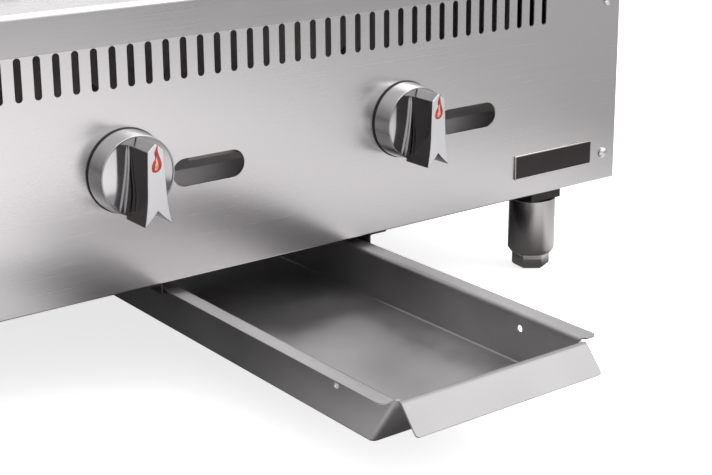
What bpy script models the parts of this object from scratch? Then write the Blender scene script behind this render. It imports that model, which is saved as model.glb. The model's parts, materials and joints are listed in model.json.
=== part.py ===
"""Countertop gas charbroiler, two burners, with a pull-out crumb tray.

Run with: blender --background --python part.py
Units are metres. +X is the operator's right, -Y is towards the operator, +Z is up.
The origin is on the floor, midway across the width and midway along the whole length, tray drawn out.
"""

import math

import bmesh
import bpy
from mathutils import Matrix, Vector

# ---- driving dimensions ------------------------------------------------------------------------------------
WIDTH = 0.6096  # over the side panels
BODY_DEPTH = 0.665  # front panel face to rear panel face
INLET_REACH = 0.036  # gas inlet pipe beyond the rear panel
TRAY_REACH = 0.225  # handle edge of the drawn-out tray in front of the front panel
SHEET = 0.0012  # stainless sheet
GAP = 0.0003  # between pieces that touch

PANEL_LOW = 0.072
PANEL_HIGH = 0.240  # top edge of the front panel, hidden behind the ledge
SKIN_TOP = 0.243  # top edge of the rear panel and of the side skins beside the ledge
LEDGE_LOW = 0.2209
LEDGE_TOP = 0.2445
LEDGE_PROUD = 0.0017
LEDGE_DEPTH = 0.075
RETURN = 0.014  # folded edges of the front and rear panels
SPLASH_TOP = 0.386
SPLASH_DEPTH = 0.030

VENT_COUNT = 40
VENT_PITCH = 0.01163
VENT_SHIFT = 0.0021  # the row sits this far right of the middle
VENT_WIDTH = 0.00415
VENT_LOW, VENT_HIGH = 0.1953, 0.2203

KNOB_X = 0.1032
KNOB_Z = 0.1463
KNOB_BASE_R, KNOB_FACE_R = 0.0253, 0.0239
KNOB_FACE = 0.0149  # from the panel to the knob's round face
GRIP_FACE = 0.036  # from the panel to the front of the grip
LIGHTING_SLOT = (0.0308, 0.0816, 0.1297, 0.1470)  # right of the knob axis from, to; low z, high z

TRAY_X = -0.0025
TRAY_HALF = 0.0665  # middle of the tray to the outside of its walls
TRAY_LIP = 0.0102
TRAY_TOP, TRAY_FLOOR = 0.0666, 0.0346
TRAY_LENGTH = 0.560
TRAY_WALL_FOOT, TRAY_WALL_TOP = 0.1890, 0.2113  # the front wall leans out from the first to the second
HANDLE_LOW = 0.0501

LEG_INSET = 0.0424
LEG_R = 0.0176
LEG_LOW, LEG_TOP = 0.0117, 0.0547
LEG_BLOCK = 0.0152  # half the side of the square block on each leg
FOOT_R = 0.0143
STUD_R = 0.006

LINER_X = 0.269
MANIFOLD = (0.025, 0.025)  # distance behind the front panel, side of the square tube
MANIFOLD_TOP = 0.1325
INLET_R = 0.0105
INLET_X = 0.2865
INLET_Z = MANIFOLD_TOP - MANIFOLD[1] / 2
BURNER_R = 0.016
BURNER_SPREAD = 0.0736
GRATE_COUNT = 4
GRATE_LOW, GRATE_HIGH = 0.236, 0.252

FRONT = -(BODY_DEPTH + INLET_REACH - TRAY_REACH) / 2
BACK = FRONT + BODY_DEPTH
HALF = WIDTH / 2
SIDES = (("left", -1), ("right", 1))

# ---- materials: colour, roughness, metallic ----------------------------------------------------------------
FINISHES = {
    "brushed_stainless": ((0.62, 0.61, 0.61), 0.32, 1.0),
    "polished_chrome": ((0.80, 0.80, 0.81), 0.08, 1.0),
    "grey_steel_sheet": ((0.33, 0.31, 0.31), 0.45, 0.9),
    "leg_steel": ((0.52, 0.49, 0.48), 0.30, 1.0),
    "dark_steel": ((0.10, 0.09, 0.09), 0.50, 0.7),
    "cast_iron": ((0.045, 0.045, 0.047), 0.75, 0.4),
    "burner_steel": ((0.40, 0.38, 0.36), 0.50, 0.9),
    "brass": ((0.66, 0.50, 0.24), 0.30, 1.0),
    "black_gasket": ((0.03, 0.03, 0.03), 0.60, 0.0),
    "nameplate_dark": ((0.055, 0.035, 0.035), 0.40, 0.0),
}


def material(name):
    made = bpy.data.materials.get(name)
    if made:
        return made
    colour, roughness, metallic = FINISHES[name]
    made = bpy.data.materials.new(name)
    made.use_nodes = True
    shader = made.node_tree.nodes["Principled BSDF"]
    shader.inputs["Base Color"].default_value = (*colour, 1.0)
    shader.inputs["Roughness"].default_value = roughness
    shader.inputs["Metallic"].default_value = metallic
    return made


# ---- objects -----------------------------------------------------------------------------------------------
def clear_scene():
    for thing in list(bpy.data.objects):
        bpy.data.objects.remove(thing, do_unlink=True)


def add(name, bm, finish, origin=(0, 0, 0), round_piece=False):
    """Makes an object of bm, whose points are in world space, with its origin at the given point."""
    bmesh.ops.recalc_face_normals(bm, faces=bm.faces)
    bmesh.ops.translate(bm, verts=bm.verts, vec=-Vector(origin))
    mesh = bpy.data.meshes.new(name)
    bm.to_mesh(mesh)
    bm.free()
    mesh.materials.append(material(finish))
    if round_piece:
        mesh.shade_smooth()
        mesh.set_sharp_from_angle(angle=math.radians(35))
    made = bpy.data.objects.new(name, mesh)
    made.location = origin
    bpy.context.scene.collection.objects.link(made)
    return made


def boolean(target, name, bm, operation):
    """Joins bm to the target or cuts it from the target, through a hidden helper object."""
    helper = add(name, bm, "dark_steel")
    helper.hide_render = True
    helper.display_type = "WIRE"
    modifier = target.modifiers.new(name, "BOOLEAN")
    modifier.operation = operation
    modifier.solver = "EXACT"
    modifier.object = helper


def cut(target, name, bm):
    boolean(target, name, bm, "DIFFERENCE")


def join(target, name, bm):
    boolean(target, name, bm, "UNION")


# ---- shapes ------------------------------------------------------------------------------------------------
def box(low, high):
    bm = bmesh.new()
    middle = (Vector(low) + Vector(high)) / 2
    size = Vector(high) - Vector(low)
    bmesh.ops.create_cube(bm, size=1.0, matrix=Matrix.Translation(middle) @ Matrix.Diagonal((*size, 1.0)))
    return bm


def prism(outline, axis, start, end, bm=None):
    """Extrudes a flat outline along an axis. Its points hold the other two coordinates in X, Y, Z order."""
    bm = bm or bmesh.new()
    points = []
    for a, b in outline:
        points.append({"X": (start, a, b), "Y": (a, start, b), "Z": (a, b, start)}[axis])
    face = bm.faces.new([bm.verts.new(p) for p in points])
    side = bmesh.ops.extrude_face_region(bm, geom=[face])
    along = {"X": (1, 0, 0), "Y": (0, 1, 0), "Z": (0, 0, 1)}[axis]
    far = [v for v in side["geom"] if isinstance(v, bmesh.types.BMVert)]
    bmesh.ops.translate(bm, verts=far, vec=Vector(along) * (end - start))
    return bm


def pan(low, high, wall, open_side):
    """A box with one open side, such as '+Y', and walls of even thickness."""
    bm = box(low, high)
    axis = "XYZ".index(open_side[1])
    sign = 1 if open_side[0] == "+" else -1
    mouth = max(bm.faces, key=lambda f: sign * f.calc_center_median()[axis])
    bmesh.ops.inset_region(bm, faces=[mouth], thickness=wall, use_even_offset=True)
    depth = high[axis] - low[axis] - wall
    pushed = bmesh.ops.extrude_discrete_faces(bm, faces=[mouth])["faces"][0]
    shift = Vector((0, 0, 0))
    shift[axis] = -sign * depth
    bmesh.ops.translate(bm, verts=pushed.verts, vec=shift)
    return bm


def obround(x_low, x_high, z_low, z_high, steps):
    """The outline of a slot with half-round ends across its narrow way."""
    upright = z_high - z_low > x_high - x_low
    radius = min(x_high - x_low, z_high - z_low) / 2
    x_mid, z_mid = (x_low + x_high) / 2, (z_low + z_high) / 2
    reach = max(x_high - x_low, z_high - z_low) / 2 - radius
    outline = []
    for side in (1, -1):
        for i in range(steps + 1):
            angle = math.pi * (i / steps) + (0 if side > 0 else math.pi)
            if upright:
                x, z = x_mid + radius * math.cos(angle), z_mid + side * reach + radius * math.sin(angle)
            else:
                tilt = angle - math.pi / 2
                x, z = x_mid + side * reach + radius * math.cos(tilt), z_mid + radius * math.sin(tilt)
            outline.append((x, z))
    return outline


def turned(profile, segments, place):
    """Turns a profile of (radius, height) points round the Z axis, then places it with a matrix.

    A profile that starts and ends on the axis is a solid. Any other one closes on itself as a ring.
    """
    bm = bmesh.new()
    rings = []
    for radius, height in profile:
        if radius == 0:
            rings.append([bm.verts.new((0, 0, height))])
            continue
        ring = []
        for i in range(segments):
            angle = 2 * math.pi * i / segments
            ring.append(bm.verts.new((radius * math.cos(angle), radius * math.sin(angle), height)))
        rings.append(ring)
    pairs = list(zip(rings, rings[1:], strict=False))
    if profile[0][0] and profile[-1][0]:
        pairs.append((rings[-1], rings[0]))
    for one, two in pairs:
        for i in range(segments):
            j = (i + 1) % segments
            corners = [one[i % len(one)], one[j % len(one)], two[j % len(two)], two[i % len(two)]]
            bm.faces.new(list(dict.fromkeys(corners)))
    bmesh.ops.transform(bm, matrix=place, verts=bm.verts)
    return bm


def facing(x, y, z):
    """Places a turned piece at a point with its height running towards the operator."""
    return Matrix.Translation((x, y, z)) @ Matrix.Rotation(math.radians(90), 4, "X")


def swept(path, radii, segments):
    """A round bar along a path, with a radius at each point and flat ends."""
    bm = bmesh.new()
    rings = []
    upright = abs((Vector(path[1]) - Vector(path[0])).normalized().z) > 0.5
    across = Vector((1, 0, 0)) if upright else Vector((0, 0, 1))
    for i, (point, radius) in enumerate(zip(path, radii, strict=True)):
        before = Vector(path[max(i - 1, 0)])
        after = Vector(path[min(i + 1, len(path) - 1)])
        along = (after - before).normalized()
        across = (across - along * across.dot(along)).normalized()
        other = along.cross(across)
        ring = []
        for k in range(segments):
            angle = 2 * math.pi * k / segments
            spoke = math.cos(angle) * across + math.sin(angle) * other
            ring.append(bm.verts.new(Vector(point) + radius * spoke))
        rings.append(ring)
    for one, two in zip(rings, rings[1:], strict=False):
        for k in range(segments):
            j = (k + 1) % segments
            bm.faces.new((one[k], one[j], two[j], two[k]))
    bm.faces.new(rings[0])
    bm.faces.new(rings[-1])
    return bm


def folded(section, start, end, wall):
    """A folded sheet: a line of (y, z) points thickened to its left by the wall and extruded along X."""
    line = [Vector(p) for p in section]
    other = []
    for i, point in enumerate(line):
        normals = []
        for a, b in ((i - 1, i), (i, i + 1)):
            if a >= 0 and b < len(line):
                run = (line[b] - line[a]).normalized()
                normals.append(Vector((-run.y, run.x)))
        if len(normals) == 1:
            other.append(point + normals[0] * wall)
        else:
            middle = (normals[0] + normals[1]).normalized()
            other.append(point + middle * wall / middle.dot(normals[0]))
    return prism([tuple(p) for p in line] + [tuple(p) for p in reversed(other)], "X", start, end)


# ---- casing ------------------------------------------------------------------------------------------------
def front_panel():
    bm = pan((-HALF, FRONT, PANEL_LOW), (HALF, FRONT + RETURN, PANEL_HIGH), SHEET, "+Y")
    panel = add("front_panel", bm, "brushed_stainless")
    near, far = FRONT - 0.005, FRONT + 0.005
    vents = bmesh.new()
    for i in range(VENT_COUNT):
        x = VENT_SHIFT + (i - (VENT_COUNT - 1) / 2) * VENT_PITCH
        prism(obround(x - VENT_WIDTH / 2, x + VENT_WIDTH / 2, VENT_LOW, VENT_HIGH, 4), "Y", near, far, vents)
    cut(panel, "vent_cutter", vents)
    openings = bmesh.new()
    x_low, x_high, z_low, z_high = LIGHTING_SLOT
    for _, side in SIDES:
        knob = side * KNOB_X
        prism(obround(knob + x_low, knob + x_high, z_low, z_high, 8), "Y", near, far, openings)
        prism(circle(knob, KNOB_Z, 0.007, 16), "Y", near, far, openings)
    cut(panel, "opening_cutter", openings)


def circle(x, z, radius, steps):
    points = []
    for i in range(steps):
        angle = 2 * math.pi * i / steps
        points.append((x + radius * math.cos(angle), z + radius * math.sin(angle)))
    return points


def front_ledge():
    """The rounded top front rail and work ledge, which hangs over the front panel's top edge."""
    bend = 0.004
    face = FRONT - LEDGE_PROUD
    section = [(FRONT + LEDGE_DEPTH, LEDGE_TOP)]
    for i in range(5):
        angle = math.radians(90 + 22.5 * i)
        y = face + bend + bend * math.cos(angle)
        section.append((y, LEDGE_TOP - bend + bend * math.sin(angle)))
    section.append((face, LEDGE_LOW))
    add("front_ledge", folded(section, -HALF, HALF, SHEET), "brushed_stainless")


def side_panels():
    """Each side skin rises behind the ledge into the splash guard."""
    outline = [
        (FRONT + RETURN + GAP, PANEL_LOW),
        (BACK, PANEL_LOW),
        (BACK, SPLASH_TOP),
        (BACK - 0.110, SPLASH_TOP),
        (FRONT + 0.110, 0.275),
        (FRONT + LEDGE_DEPTH + 0.003, SKIN_TOP + 0.006),
        (FRONT + LEDGE_DEPTH + 0.003, SKIN_TOP),
        (FRONT + RETURN + GAP, SKIN_TOP),
    ]
    for name, side in SIDES:
        bm = prism(outline, "X", side * (HALF - SHEET), side * HALF)
        add(f"side_panel_{name}", bm, "brushed_stainless")


def rear_panel():
    inner = HALF - SHEET - GAP
    bm = pan((-inner, BACK - RETURN, PANEL_LOW), (inner, BACK, SKIN_TOP), SHEET, "-Y")
    panel = add("rear_panel", bm, "brushed_stainless")
    holes = bmesh.new()
    for row in range(3):
        for column in range(4):
            x = (column - 1.5) * 0.115
            z = 0.165 + row * 0.020
            slot = obround(x - 0.045, x + 0.045, z - 0.003, z + 0.003, 4)
            prism(slot, "Y", BACK - 0.006, BACK + 0.006, holes)
    prism(circle(INLET_X, INLET_Z, INLET_R + 0.001, 20), "Y", BACK - 0.006, BACK + 0.006, holes)
    cut(panel, "rear_cutter", holes)


def back_splash():
    inner = HALF - SHEET - GAP
    low = (-inner, BACK - SPLASH_DEPTH, SKIN_TOP + GAP)
    add("back_splash", pan(low, (inner, BACK, SPLASH_TOP), SHEET, "-Z"), "brushed_stainless")


def base_sheets():
    """The casing's bottom: two side sheets and two cross members round the opening over the crumb tray."""
    low, high = PANEL_LOW + 0.0002, PANEL_LOW + 0.0017
    near, far = FRONT + RETURN + GAP, BACK - RETURN - GAP
    edge = HALF - SHEET - GAP
    left, right = TRAY_X - 0.060, TRAY_X + 0.060
    add("base_sheet_left", box((-edge, near, low), (left - GAP, far, high)), "grey_steel_sheet")
    add("base_sheet_right", box((right + GAP, near, low), (edge, far, high)), "grey_steel_sheet")
    add("base_cross_front", box((left, near, low), (right, FRONT + 0.115, high)), "grey_steel_sheet")
    add("base_cross_rear", box((left, BACK - 0.125, low), (right, far, high)), "grey_steel_sheet")


def panel_screws():
    for name, side in SIDES:
        for level, z in (("lower", 0.0924), ("upper", 0.2061)):
            profile = [(0, 0), (0.0040, 0), (0.0037, 0.0011), (0.0022, 0.0019), (0, 0.0021)]
            bm = turned(profile, 12, facing(side * 0.2925, FRONT - GAP, z))
            add(f"panel_screw_{level}_{name}", bm, "leg_steel", round_piece=True)


def nameplate():
    low = (0.2036, FRONT - 0.0013, 0.0864)
    add("nameplate", box(low, (0.2791, FRONT - GAP, 0.1041)), "nameplate_dark")


def side_trims():
    """Flat caps over the air space between the firebox and each side skin."""
    for name, side in SIDES:
        inner, outer = side * (LINER_X - 0.0005), side * (HALF - SHEET - GAP)
        low = (min(inner, outer), FRONT + LEDGE_DEPTH + 0.001, 0.2565)
        high = (max(inner, outer), BACK - SPLASH_DEPTH - GAP, 0.2577)
        add(f"side_trim_{name}", box(low, high), "brushed_stainless")


# ---- crumb tray and its rails ------------------------------------------------------------------------------
def tray_rails():
    """Z-shaped rails under the base. The tray hangs in them by its lips."""
    web = TRAY_HALF + TRAY_LIP + 0.0042
    shelf = TRAY_TOP - SHEET - GAP
    for name, side in SIDES:
        outline = [
            (web, PANEL_LOW - GAP),
            (web + 0.013, PANEL_LOW - GAP),
            (web + 0.013, PANEL_LOW - GAP - SHEET),
            (web + SHEET, PANEL_LOW - GAP - SHEET),
            (web + SHEET, shelf - SHEET),
            (web - 0.0105, shelf - SHEET),
            (web - 0.0105, shelf),
            (web, shelf),
        ]
        placed = [(TRAY_X + side * (x - SHEET), z) for x, z in outline]
        add(f"tray_rail_{name}", prism(placed, "Y", FRONT + 0.002, BACK - 0.020), "dark_steel")


def crumb_tray():
    """One folded sheet: floor, four walls, a lip on each side and a turned-down handle along the front."""
    foot, top = FRONT - TRAY_WALL_FOOT, FRONT - TRAY_WALL_TOP
    rear = foot + TRAY_LENGTH
    outer, inner, lip = TRAY_HALF, TRAY_HALF - SHEET, TRAY_HALF + TRAY_LIP
    right = [(outer, TRAY_FLOOR), (outer, TRAY_TOP - SHEET), (lip, TRAY_TOP - SHEET), (lip, TRAY_TOP)]
    right += [(inner, TRAY_TOP), (inner, TRAY_FLOOR + SHEET)]
    left = [(-x, z) for x, z in reversed(right)]
    channel = [*left[2:], *right, *left[:2]]
    placed = [(TRAY_X + x, z) for x, z in channel]
    origin = (TRAY_X, foot, TRAY_FLOOR)
    tray = add("crumb_tray", prism(placed, "Y", top + 0.0005, rear), "grey_steel_sheet", origin)
    # The front is cut off along the leaning wall, and each lip ends behind it at a slant.
    slope = (top - foot) / (TRAY_TOP - TRAY_FLOOR)
    low, high = TRAY_FLOOR - 0.002, TRAY_TOP + 0.002
    y_low, y_high = foot + slope * (low - TRAY_FLOOR), foot + slope * (high - TRAY_FLOOR)
    waste = [(y_low - 0.05, low), (y_low, low), (y_high, high), (y_high - 0.02, high)]
    cut(tray, "tray_front_cutter", prism(waste, "X", TRAY_X - 0.1, TRAY_X + 0.1))
    tips = bmesh.new()
    for _, side in SIDES:
        near, far = TRAY_X + side * (outer + 0.0003), TRAY_X + side * (lip + 0.004)
        corner = [(near, top - 0.01), (near, top + 0.0028), (far, top + 0.0098), (far, top - 0.01)]
        prism(corner, "Z", low, high, tips)
    cut(tray, "tray_lip_cutter", tips)
    wall = SHEET * math.hypot(1, slope)
    front_low, front_high = TRAY_FLOOR + 0.0003, TRAY_TOP - 0.0004
    front = [(foot + 0.0003, front_low), (foot + wall, front_low), (top + wall, front_high)]
    front += [(top + 0.0003, front_high)]
    left, right = TRAY_X - inner - 0.0005, TRAY_X + inner + 0.0005
    join(tray, "tray_front_wall", prism(front, "X", left, right))
    back = box((left, rear - 0.0016, TRAY_FLOOR + 0.0004), (right, rear - 0.0004, 0.0655))
    join(tray, "tray_rear_wall", back)
    corner = [(0.004 * (1 - math.sin(a)), 0.004 * (1 - math.cos(a))) for a in (0, 0.52, 1.05, math.pi / 2)]
    reach = TRAY_HALF - 0.0008
    handle = [(TRAY_X + reach - x, HANDLE_LOW + z) for x, z in corner]
    handle += [(TRAY_X + reach, TRAY_TOP - 0.0007), (TRAY_X - reach, TRAY_TOP - 0.0007)]
    handle += [(TRAY_X - reach + x, HANDLE_LOW + z) for x, z in reversed(corner)]
    lean = (TRAY_WALL_TOP - TRAY_REACH) / (TRAY_TOP - HANDLE_LOW)
    flange = prism(handle, "Y", top, top + 1.3 * SHEET)
    lean_out = Matrix.Identity(4)
    lean_out[1][2] = -lean
    lean_out[1][3] = lean * TRAY_TOP
    bmesh.ops.transform(flange, matrix=lean_out, verts=flange.verts)
    join(tray, "tray_handle", flange)
    hole = [(FRONT - 0.158 + 0.0021 * math.cos(a), 0.0569 + 0.0021 * math.sin(a)) for a in turn(12)]
    cut(tray, "tray_hole_cutter", prism(hole, "X", TRAY_X - 0.08, TRAY_X + 0.08))


def turn(steps):
    """The angles of a full turn, evenly spaced."""
    return [2 * math.pi * i / steps for i in range(steps)]


def drip_pans():
    """Sloped sheets that lead grease from the sides of the firebox to the crumb tray."""
    for name, side in SIDES:
        inner = TRAY_X + side * 0.0575
        outer = side * (LINER_X - 0.001)
        low, high = PANEL_LOW + 0.0040, 0.098
        outline = [(inner, low), (outer, high), (outer, high + SHEET), (inner, low + SHEET)]
        add(f"drip_pan_{name}", prism(outline, "Y", FRONT + 0.118, BACK - 0.128), "grey_steel_sheet")


# ---- firebox -----------------------------------------------------------------------------------------------
def firebox():
    base = PANEL_LOW + 0.0017 + GAP
    for name, side in SIDES:
        inner, outer = side * LINER_X, side * (LINER_X + SHEET)
        low = (min(inner, outer), FRONT + 0.079, base)
        high = (max(inner, outer), BACK - SPLASH_DEPTH - 0.004, 0.2562)
        add(f"side_liner_{name}", box(low, high), "grey_steel_sheet")
    low = (-LINER_X + GAP, FRONT + 0.105, base)
    baffle = add("heat_baffle", box(low, (LINER_X - GAP, FRONT + 0.105 + SHEET, 0.230)), "grey_steel_sheet")
    holes = bmesh.new()
    for _, side in SIDES:
        prism(circle(side * KNOB_X, KNOB_Z, BURNER_R + 0.0015, 20), "Y", FRONT + 0.100, FRONT + 0.112, holes)
        tall = obround(side * KNOB_X + 0.024, side * KNOB_X + 0.040, 0.128, 0.176, 6)
        prism(tall, "Y", FRONT + 0.100, FRONT + 0.112, holes)
    cut(baffle, "baffle_cutter", holes)
    y = BACK - 0.122
    outline = [(y, base), (y + 0.020, base), (y + 0.020, base + 0.0015), (y + 0.0015, base + 0.0015)]
    top = KNOB_Z - BURNER_R - GAP
    outline += [(y + 0.0015, top - 0.0015), (y + 0.020, top - 0.0015), (y + 0.020, top), (y, top)]
    add("burner_bracket", prism(outline, "X", -LINER_X + GAP, LINER_X - GAP), "dark_steel")


def burners():
    """U-shaped tube burners. The inner limb starts at the air shutter, the outer one is closed."""
    start, far, closed_end = FRONT + 0.088, BACK - 0.150, FRONT + 0.125
    for name, side in SIDES:
        path = [(side * KNOB_X, y, KNOB_Z) for y in (start, start + 0.0165, start + 0.024)]
        radii = [0.0125, 0.0125, BURNER_R]
        middle, reach = side * (KNOB_X + BURNER_SPREAD / 2), BURNER_SPREAD / 2
        for i in range(9):
            angle = math.pi * i / 8
            path.append((middle - side * reach * math.cos(angle), far + reach * math.sin(angle), KNOB_Z))
        path += [(side * (KNOB_X + BURNER_SPREAD), y, KNOB_Z) for y in (closed_end + 0.003, closed_end)]
        radii += [BURNER_R] * 9 + [BURNER_R, BURNER_R - 0.003]
        burner = add(f"burner_{name}", swept(path, radii, 12), "burner_steel", round_piece=True)
        bore = prism(circle(side * KNOB_X, KNOB_Z, 0.0105, 12), "Y", start - 0.005, start + 0.070)
        cut(burner, f"burner_bore_{name}", bore)


def radiants():
    """Cast roofs over the burners, two along each one, with flame slots through both slopes."""
    ridge_z, eave_z, half, wall = 0.212, 0.178, 0.066, 0.005
    length = 0.212
    for name, side in SIDES:
        x = side * (KNOB_X + BURNER_SPREAD / 2)
        for end, y in (("front", FRONT + 0.118), ("rear", FRONT + 0.118 + length + 0.002)):
            outline = [
                (x - half, eave_z),
                (x, ridge_z),
                (x + half, eave_z),
                (x + half, eave_z - wall),
                (x + half - 0.006, eave_z - wall - 0.010),
                (x + half - 0.011, eave_z - wall - 0.010),
                (x + half - 0.011, eave_z - wall + 0.005),
                (x, ridge_z - wall - 0.001),
                (x - half + 0.011, eave_z - wall + 0.005),
                (x - half + 0.011, eave_z - wall - 0.010),
                (x - half + 0.006, eave_z - wall - 0.010),
                (x - half, eave_z - wall),
            ]
            piece = add(f"radiant_{end}_{name}", prism(outline, "Y", y, y + length), "cast_iron")
            slots = bmesh.new()
            for row in range(4):
                low = y + 0.022 + row * 0.046
                for slope in (-1, 1):
                    a, b = sorted((x + slope * 0.018, x + slope * 0.046))
                    prism([(a, low), (b, low), (b, low + 0.012), (a, low + 0.012)], "Z", 0.16, 0.23, slots)
            cut(piece, f"radiant_cutter_{end}_{name}", slots)


def grate(name, x_low, x_high):
    """A cast grate: long bars between two edge bars, tied by cross ribs."""
    y_low, y_high = FRONT + 0.082, BACK - SPLASH_DEPTH - 0.006
    holes, rows, edge, rib, end = 6, 3, 0.009, 0.007, 0.014
    gap = (x_high - x_low - 2 * edge - (holes - 1) * rib) / holes
    run = (y_high - y_low - 2 * end - (rows - 1) * rib) / rows
    xs, ys = [x_low, x_low + edge], [y_low, y_low + end]
    for _ in range(holes - 1):
        xs += [xs[-1] + gap, xs[-1] + gap + rib]
    for _ in range(rows - 1):
        ys += [ys[-1] + run, ys[-1] + run + rib]
    xs += [x_high - edge, x_high]
    ys += [y_high - end, y_high]
    bm = bmesh.new()
    points = [[bm.verts.new((x, y, GRATE_LOW)) for y in ys] for x in xs]
    for i in range(len(xs) - 1):
        for j in range(len(ys) - 1):
            if i % 2 and j % 2:
                continue
            bm.faces.new((points[i][j], points[i + 1][j], points[i + 1][j + 1], points[i][j + 1]))
    raised = bmesh.ops.extrude_face_region(bm, geom=bm.faces[:])
    top = [v for v in raised["geom"] if isinstance(v, bmesh.types.BMVert)]
    bmesh.ops.translate(bm, verts=top, vec=(0, 0, GRATE_HIGH - GRATE_LOW))
    add(name, bm, "cast_iron", origin=((x_low + x_high) / 2, y_low, GRATE_LOW))


def grates():
    pitch = (2 * LINER_X - 0.0012) / GRATE_COUNT
    for i in range(GRATE_COUNT):
        low = -LINER_X + 0.0006 + i * pitch
        grate(f"grate_{i + 1}", low + 0.0003, low + pitch - 0.0003)


def grate_rests():
    reach = LINER_X - GAP
    z = GRATE_LOW - GAP
    for name, y, inward in (("front", FRONT + 0.0800, 1), ("rear", BACK - SPLASH_DEPTH - 0.004, -1)):
        outline = [
            (y, z),
            (y + inward * 0.018, z),
            (y + inward * 0.018, z - 0.002),
            (y + inward * 0.002, z - 0.002),
            (y + inward * 0.002, z - 0.020),
            (y, z - 0.020),
        ]
        add(f"grate_rest_{name}", prism(outline, "X", -reach, reach), "dark_steel")


# ---- gas train ---------------------------------------------------------------------------------------------
def gas_pipes():
    back, side = MANIFOLD
    low = (-0.245, FRONT + back, MANIFOLD_TOP - side)
    add("gas_manifold", box(low, (0.262, FRONT + back + side, MANIFOLD_TOP)), "dark_steel")
    y = FRONT + back + side / 2
    bend = 0.014
    path = [(0.262 + GAP, y, INLET_Z)]
    for i in range(5):
        angle = math.radians(22.5 * i)
        path.append((INLET_X - bend + bend * math.sin(angle), y + bend - bend * math.cos(angle), INLET_Z))
    path.append((INLET_X, BACK + INLET_REACH, INLET_Z))
    pipe = add("gas_inlet_pipe", swept(path, [INLET_R] * len(path), 16), "burner_steel", round_piece=True)
    end = BACK + INLET_REACH
    mouth = prism(circle(INLET_X, INLET_Z, 0.008, 12), "Y", end - 0.030, end + 0.005)
    cut(pipe, "inlet_bore_cutter", mouth)


def valves():
    """A brass valve over the manifold behind each knob, with its orifice pointing into the burner."""
    for name, side in SIDES:
        profile = [(0, 0), (0.0045, 0), (0.0050, 0.012), (0.0090, 0.0125), (0.0090, 0.046), (0.0070, 0.052)]
        profile += [(0.0062, 0.064), (0, 0.064)]
        flipped = [(r, -h) for r, h in reversed(profile)]
        place = facing(side * KNOB_X, FRONT + 0.083, KNOB_Z) @ Matrix.Translation((0, 0, 0.064))
        valve = add(f"gas_valve_{name}", turned(flipped, 16, place), "brass", round_piece=True)
        y = FRONT + MANIFOLD[0] + MANIFOLD[1] / 2
        shank = prism([(side * KNOB_X + 0.006 * math.cos(a), y + 0.006 * math.sin(a)) for a in turn(12)], "Z",
                      MANIFOLD_TOP + GAP, KNOB_Z - 0.002)
        join(valve, f"valve_shank_{name}", shank)


def air_shutters():
    """Caps that turn on the burner mouths to open or close their two air windows."""
    for name, side in SIDES:
        profile = [(0.0065, 0), (0.0152, 0), (0.0152, -0.018), (0.0130, -0.018)]
        profile += [(0.0130, -0.0012), (0.0065, -0.0012)]
        origin = (side * KNOB_X, FRONT + 0.0865, KNOB_Z)
        cap = turned(profile, 16, facing(*origin))
        shutter = add(f"air_shutter_{name}", cap, "burner_steel", origin, round_piece=True)
        window = box((side * KNOB_X - 0.020, FRONT + 0.0895, KNOB_Z - 0.0045),
                     (side * KNOB_X + 0.020, FRONT + 0.0975, KNOB_Z + 0.0045))
        cut(shutter, f"shutter_window_{name}", window)


def pilots():
    """A standing pilot beside each burner, fed from the manifold and reached through the lighting slot."""
    for name, side in SIDES:
        x = side * KNOB_X + 0.032
        y = FRONT + MANIFOLD[0] + MANIFOLD[1] / 2
        path = [(x, y, MANIFOLD_TOP + GAP), (x, y, 0.139), (x, y + 0.003, 0.146), (x, y + 0.010, 0.151)]
        path += [(x, FRONT + 0.125, 0.160), (x, FRONT + 0.1252, 0.160), (x, FRONT + 0.139, 0.1612)]
        radii = [0.0032, 0.0032, 0.0032, 0.0032, 0.0032, 0.0052, 0.0052]
        add(f"pilot_{name}", swept(path, radii, 8), "brass", round_piece=True)


# ---- knobs -------------------------------------------------------------------------------------------------
def grip_outline(x):
    """The pointer's front outline: a ridged top, straight sides and a swallow tail."""
    peak, shoulder, waist, tip, notch = 0.0232, 0.0186, -0.0040, -0.0248, -0.0163
    right = [(0.0053, shoulder), (0.0061, waist)]
    for i in range(1, 4):
        share = i / 3
        right.append((0.0061 + 0.0027 * share**2, waist + (tip - waist) * share))
    left = [(-a, b) for a, b in reversed(right)]
    outline = [(0, peak), *right, (0, notch), *left]
    return [(x + a, KNOB_Z + b) for a, b in outline]


def knobs():
    for name, side in SIDES:
        x = side * KNOB_X
        seat = 0.0024
        profile = [(0.0043, seat), (KNOB_BASE_R, seat), (KNOB_FACE_R + 0.0004, KNOB_FACE - 0.0012)]
        profile += [(KNOB_FACE_R - 0.0004, KNOB_FACE), (0.0043, KNOB_FACE)]
        bm = turned(profile, 28, facing(x, FRONT, KNOB_Z))
        knob = add(f"knob_{name}", bm, "polished_chrome", (x, FRONT, KNOB_Z), round_piece=True)
        face = FRONT - KNOB_FACE
        corners = ((-0.0058, 0.0192), (0.0058, 0.0192), (0.0105, -0.0190), (-0.0105, -0.0190))
        plinth = [(x + a, KNOB_Z + b) for a, b in corners]
        join(knob, f"knob_plinth_{name}", prism(plinth, "Y", face + 0.002, face - 0.0016))
        join(knob, f"knob_grip_{name}", prism(grip_outline(x), "Y", face + 0.003, FRONT - GRIP_FACE))
        rod = [(0, -0.0185), (0.004, -0.0185), (0.004, 0.0092), (0, 0.0092)]
        stem = turned(rod, 12, facing(x, FRONT, KNOB_Z))
        add(f"valve_stem_{name}", stem, "brass", (x, FRONT, KNOB_Z), round_piece=True)
        ring = [(0.0090, GAP), (0.0262, GAP), (0.0262, 0.0021), (0.0090, 0.0021)]
        bm = turned(ring, 28, facing(x, FRONT, KNOB_Z))
        add(f"knob_gasket_{name}", bm, "black_gasket", round_piece=True)


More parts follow.
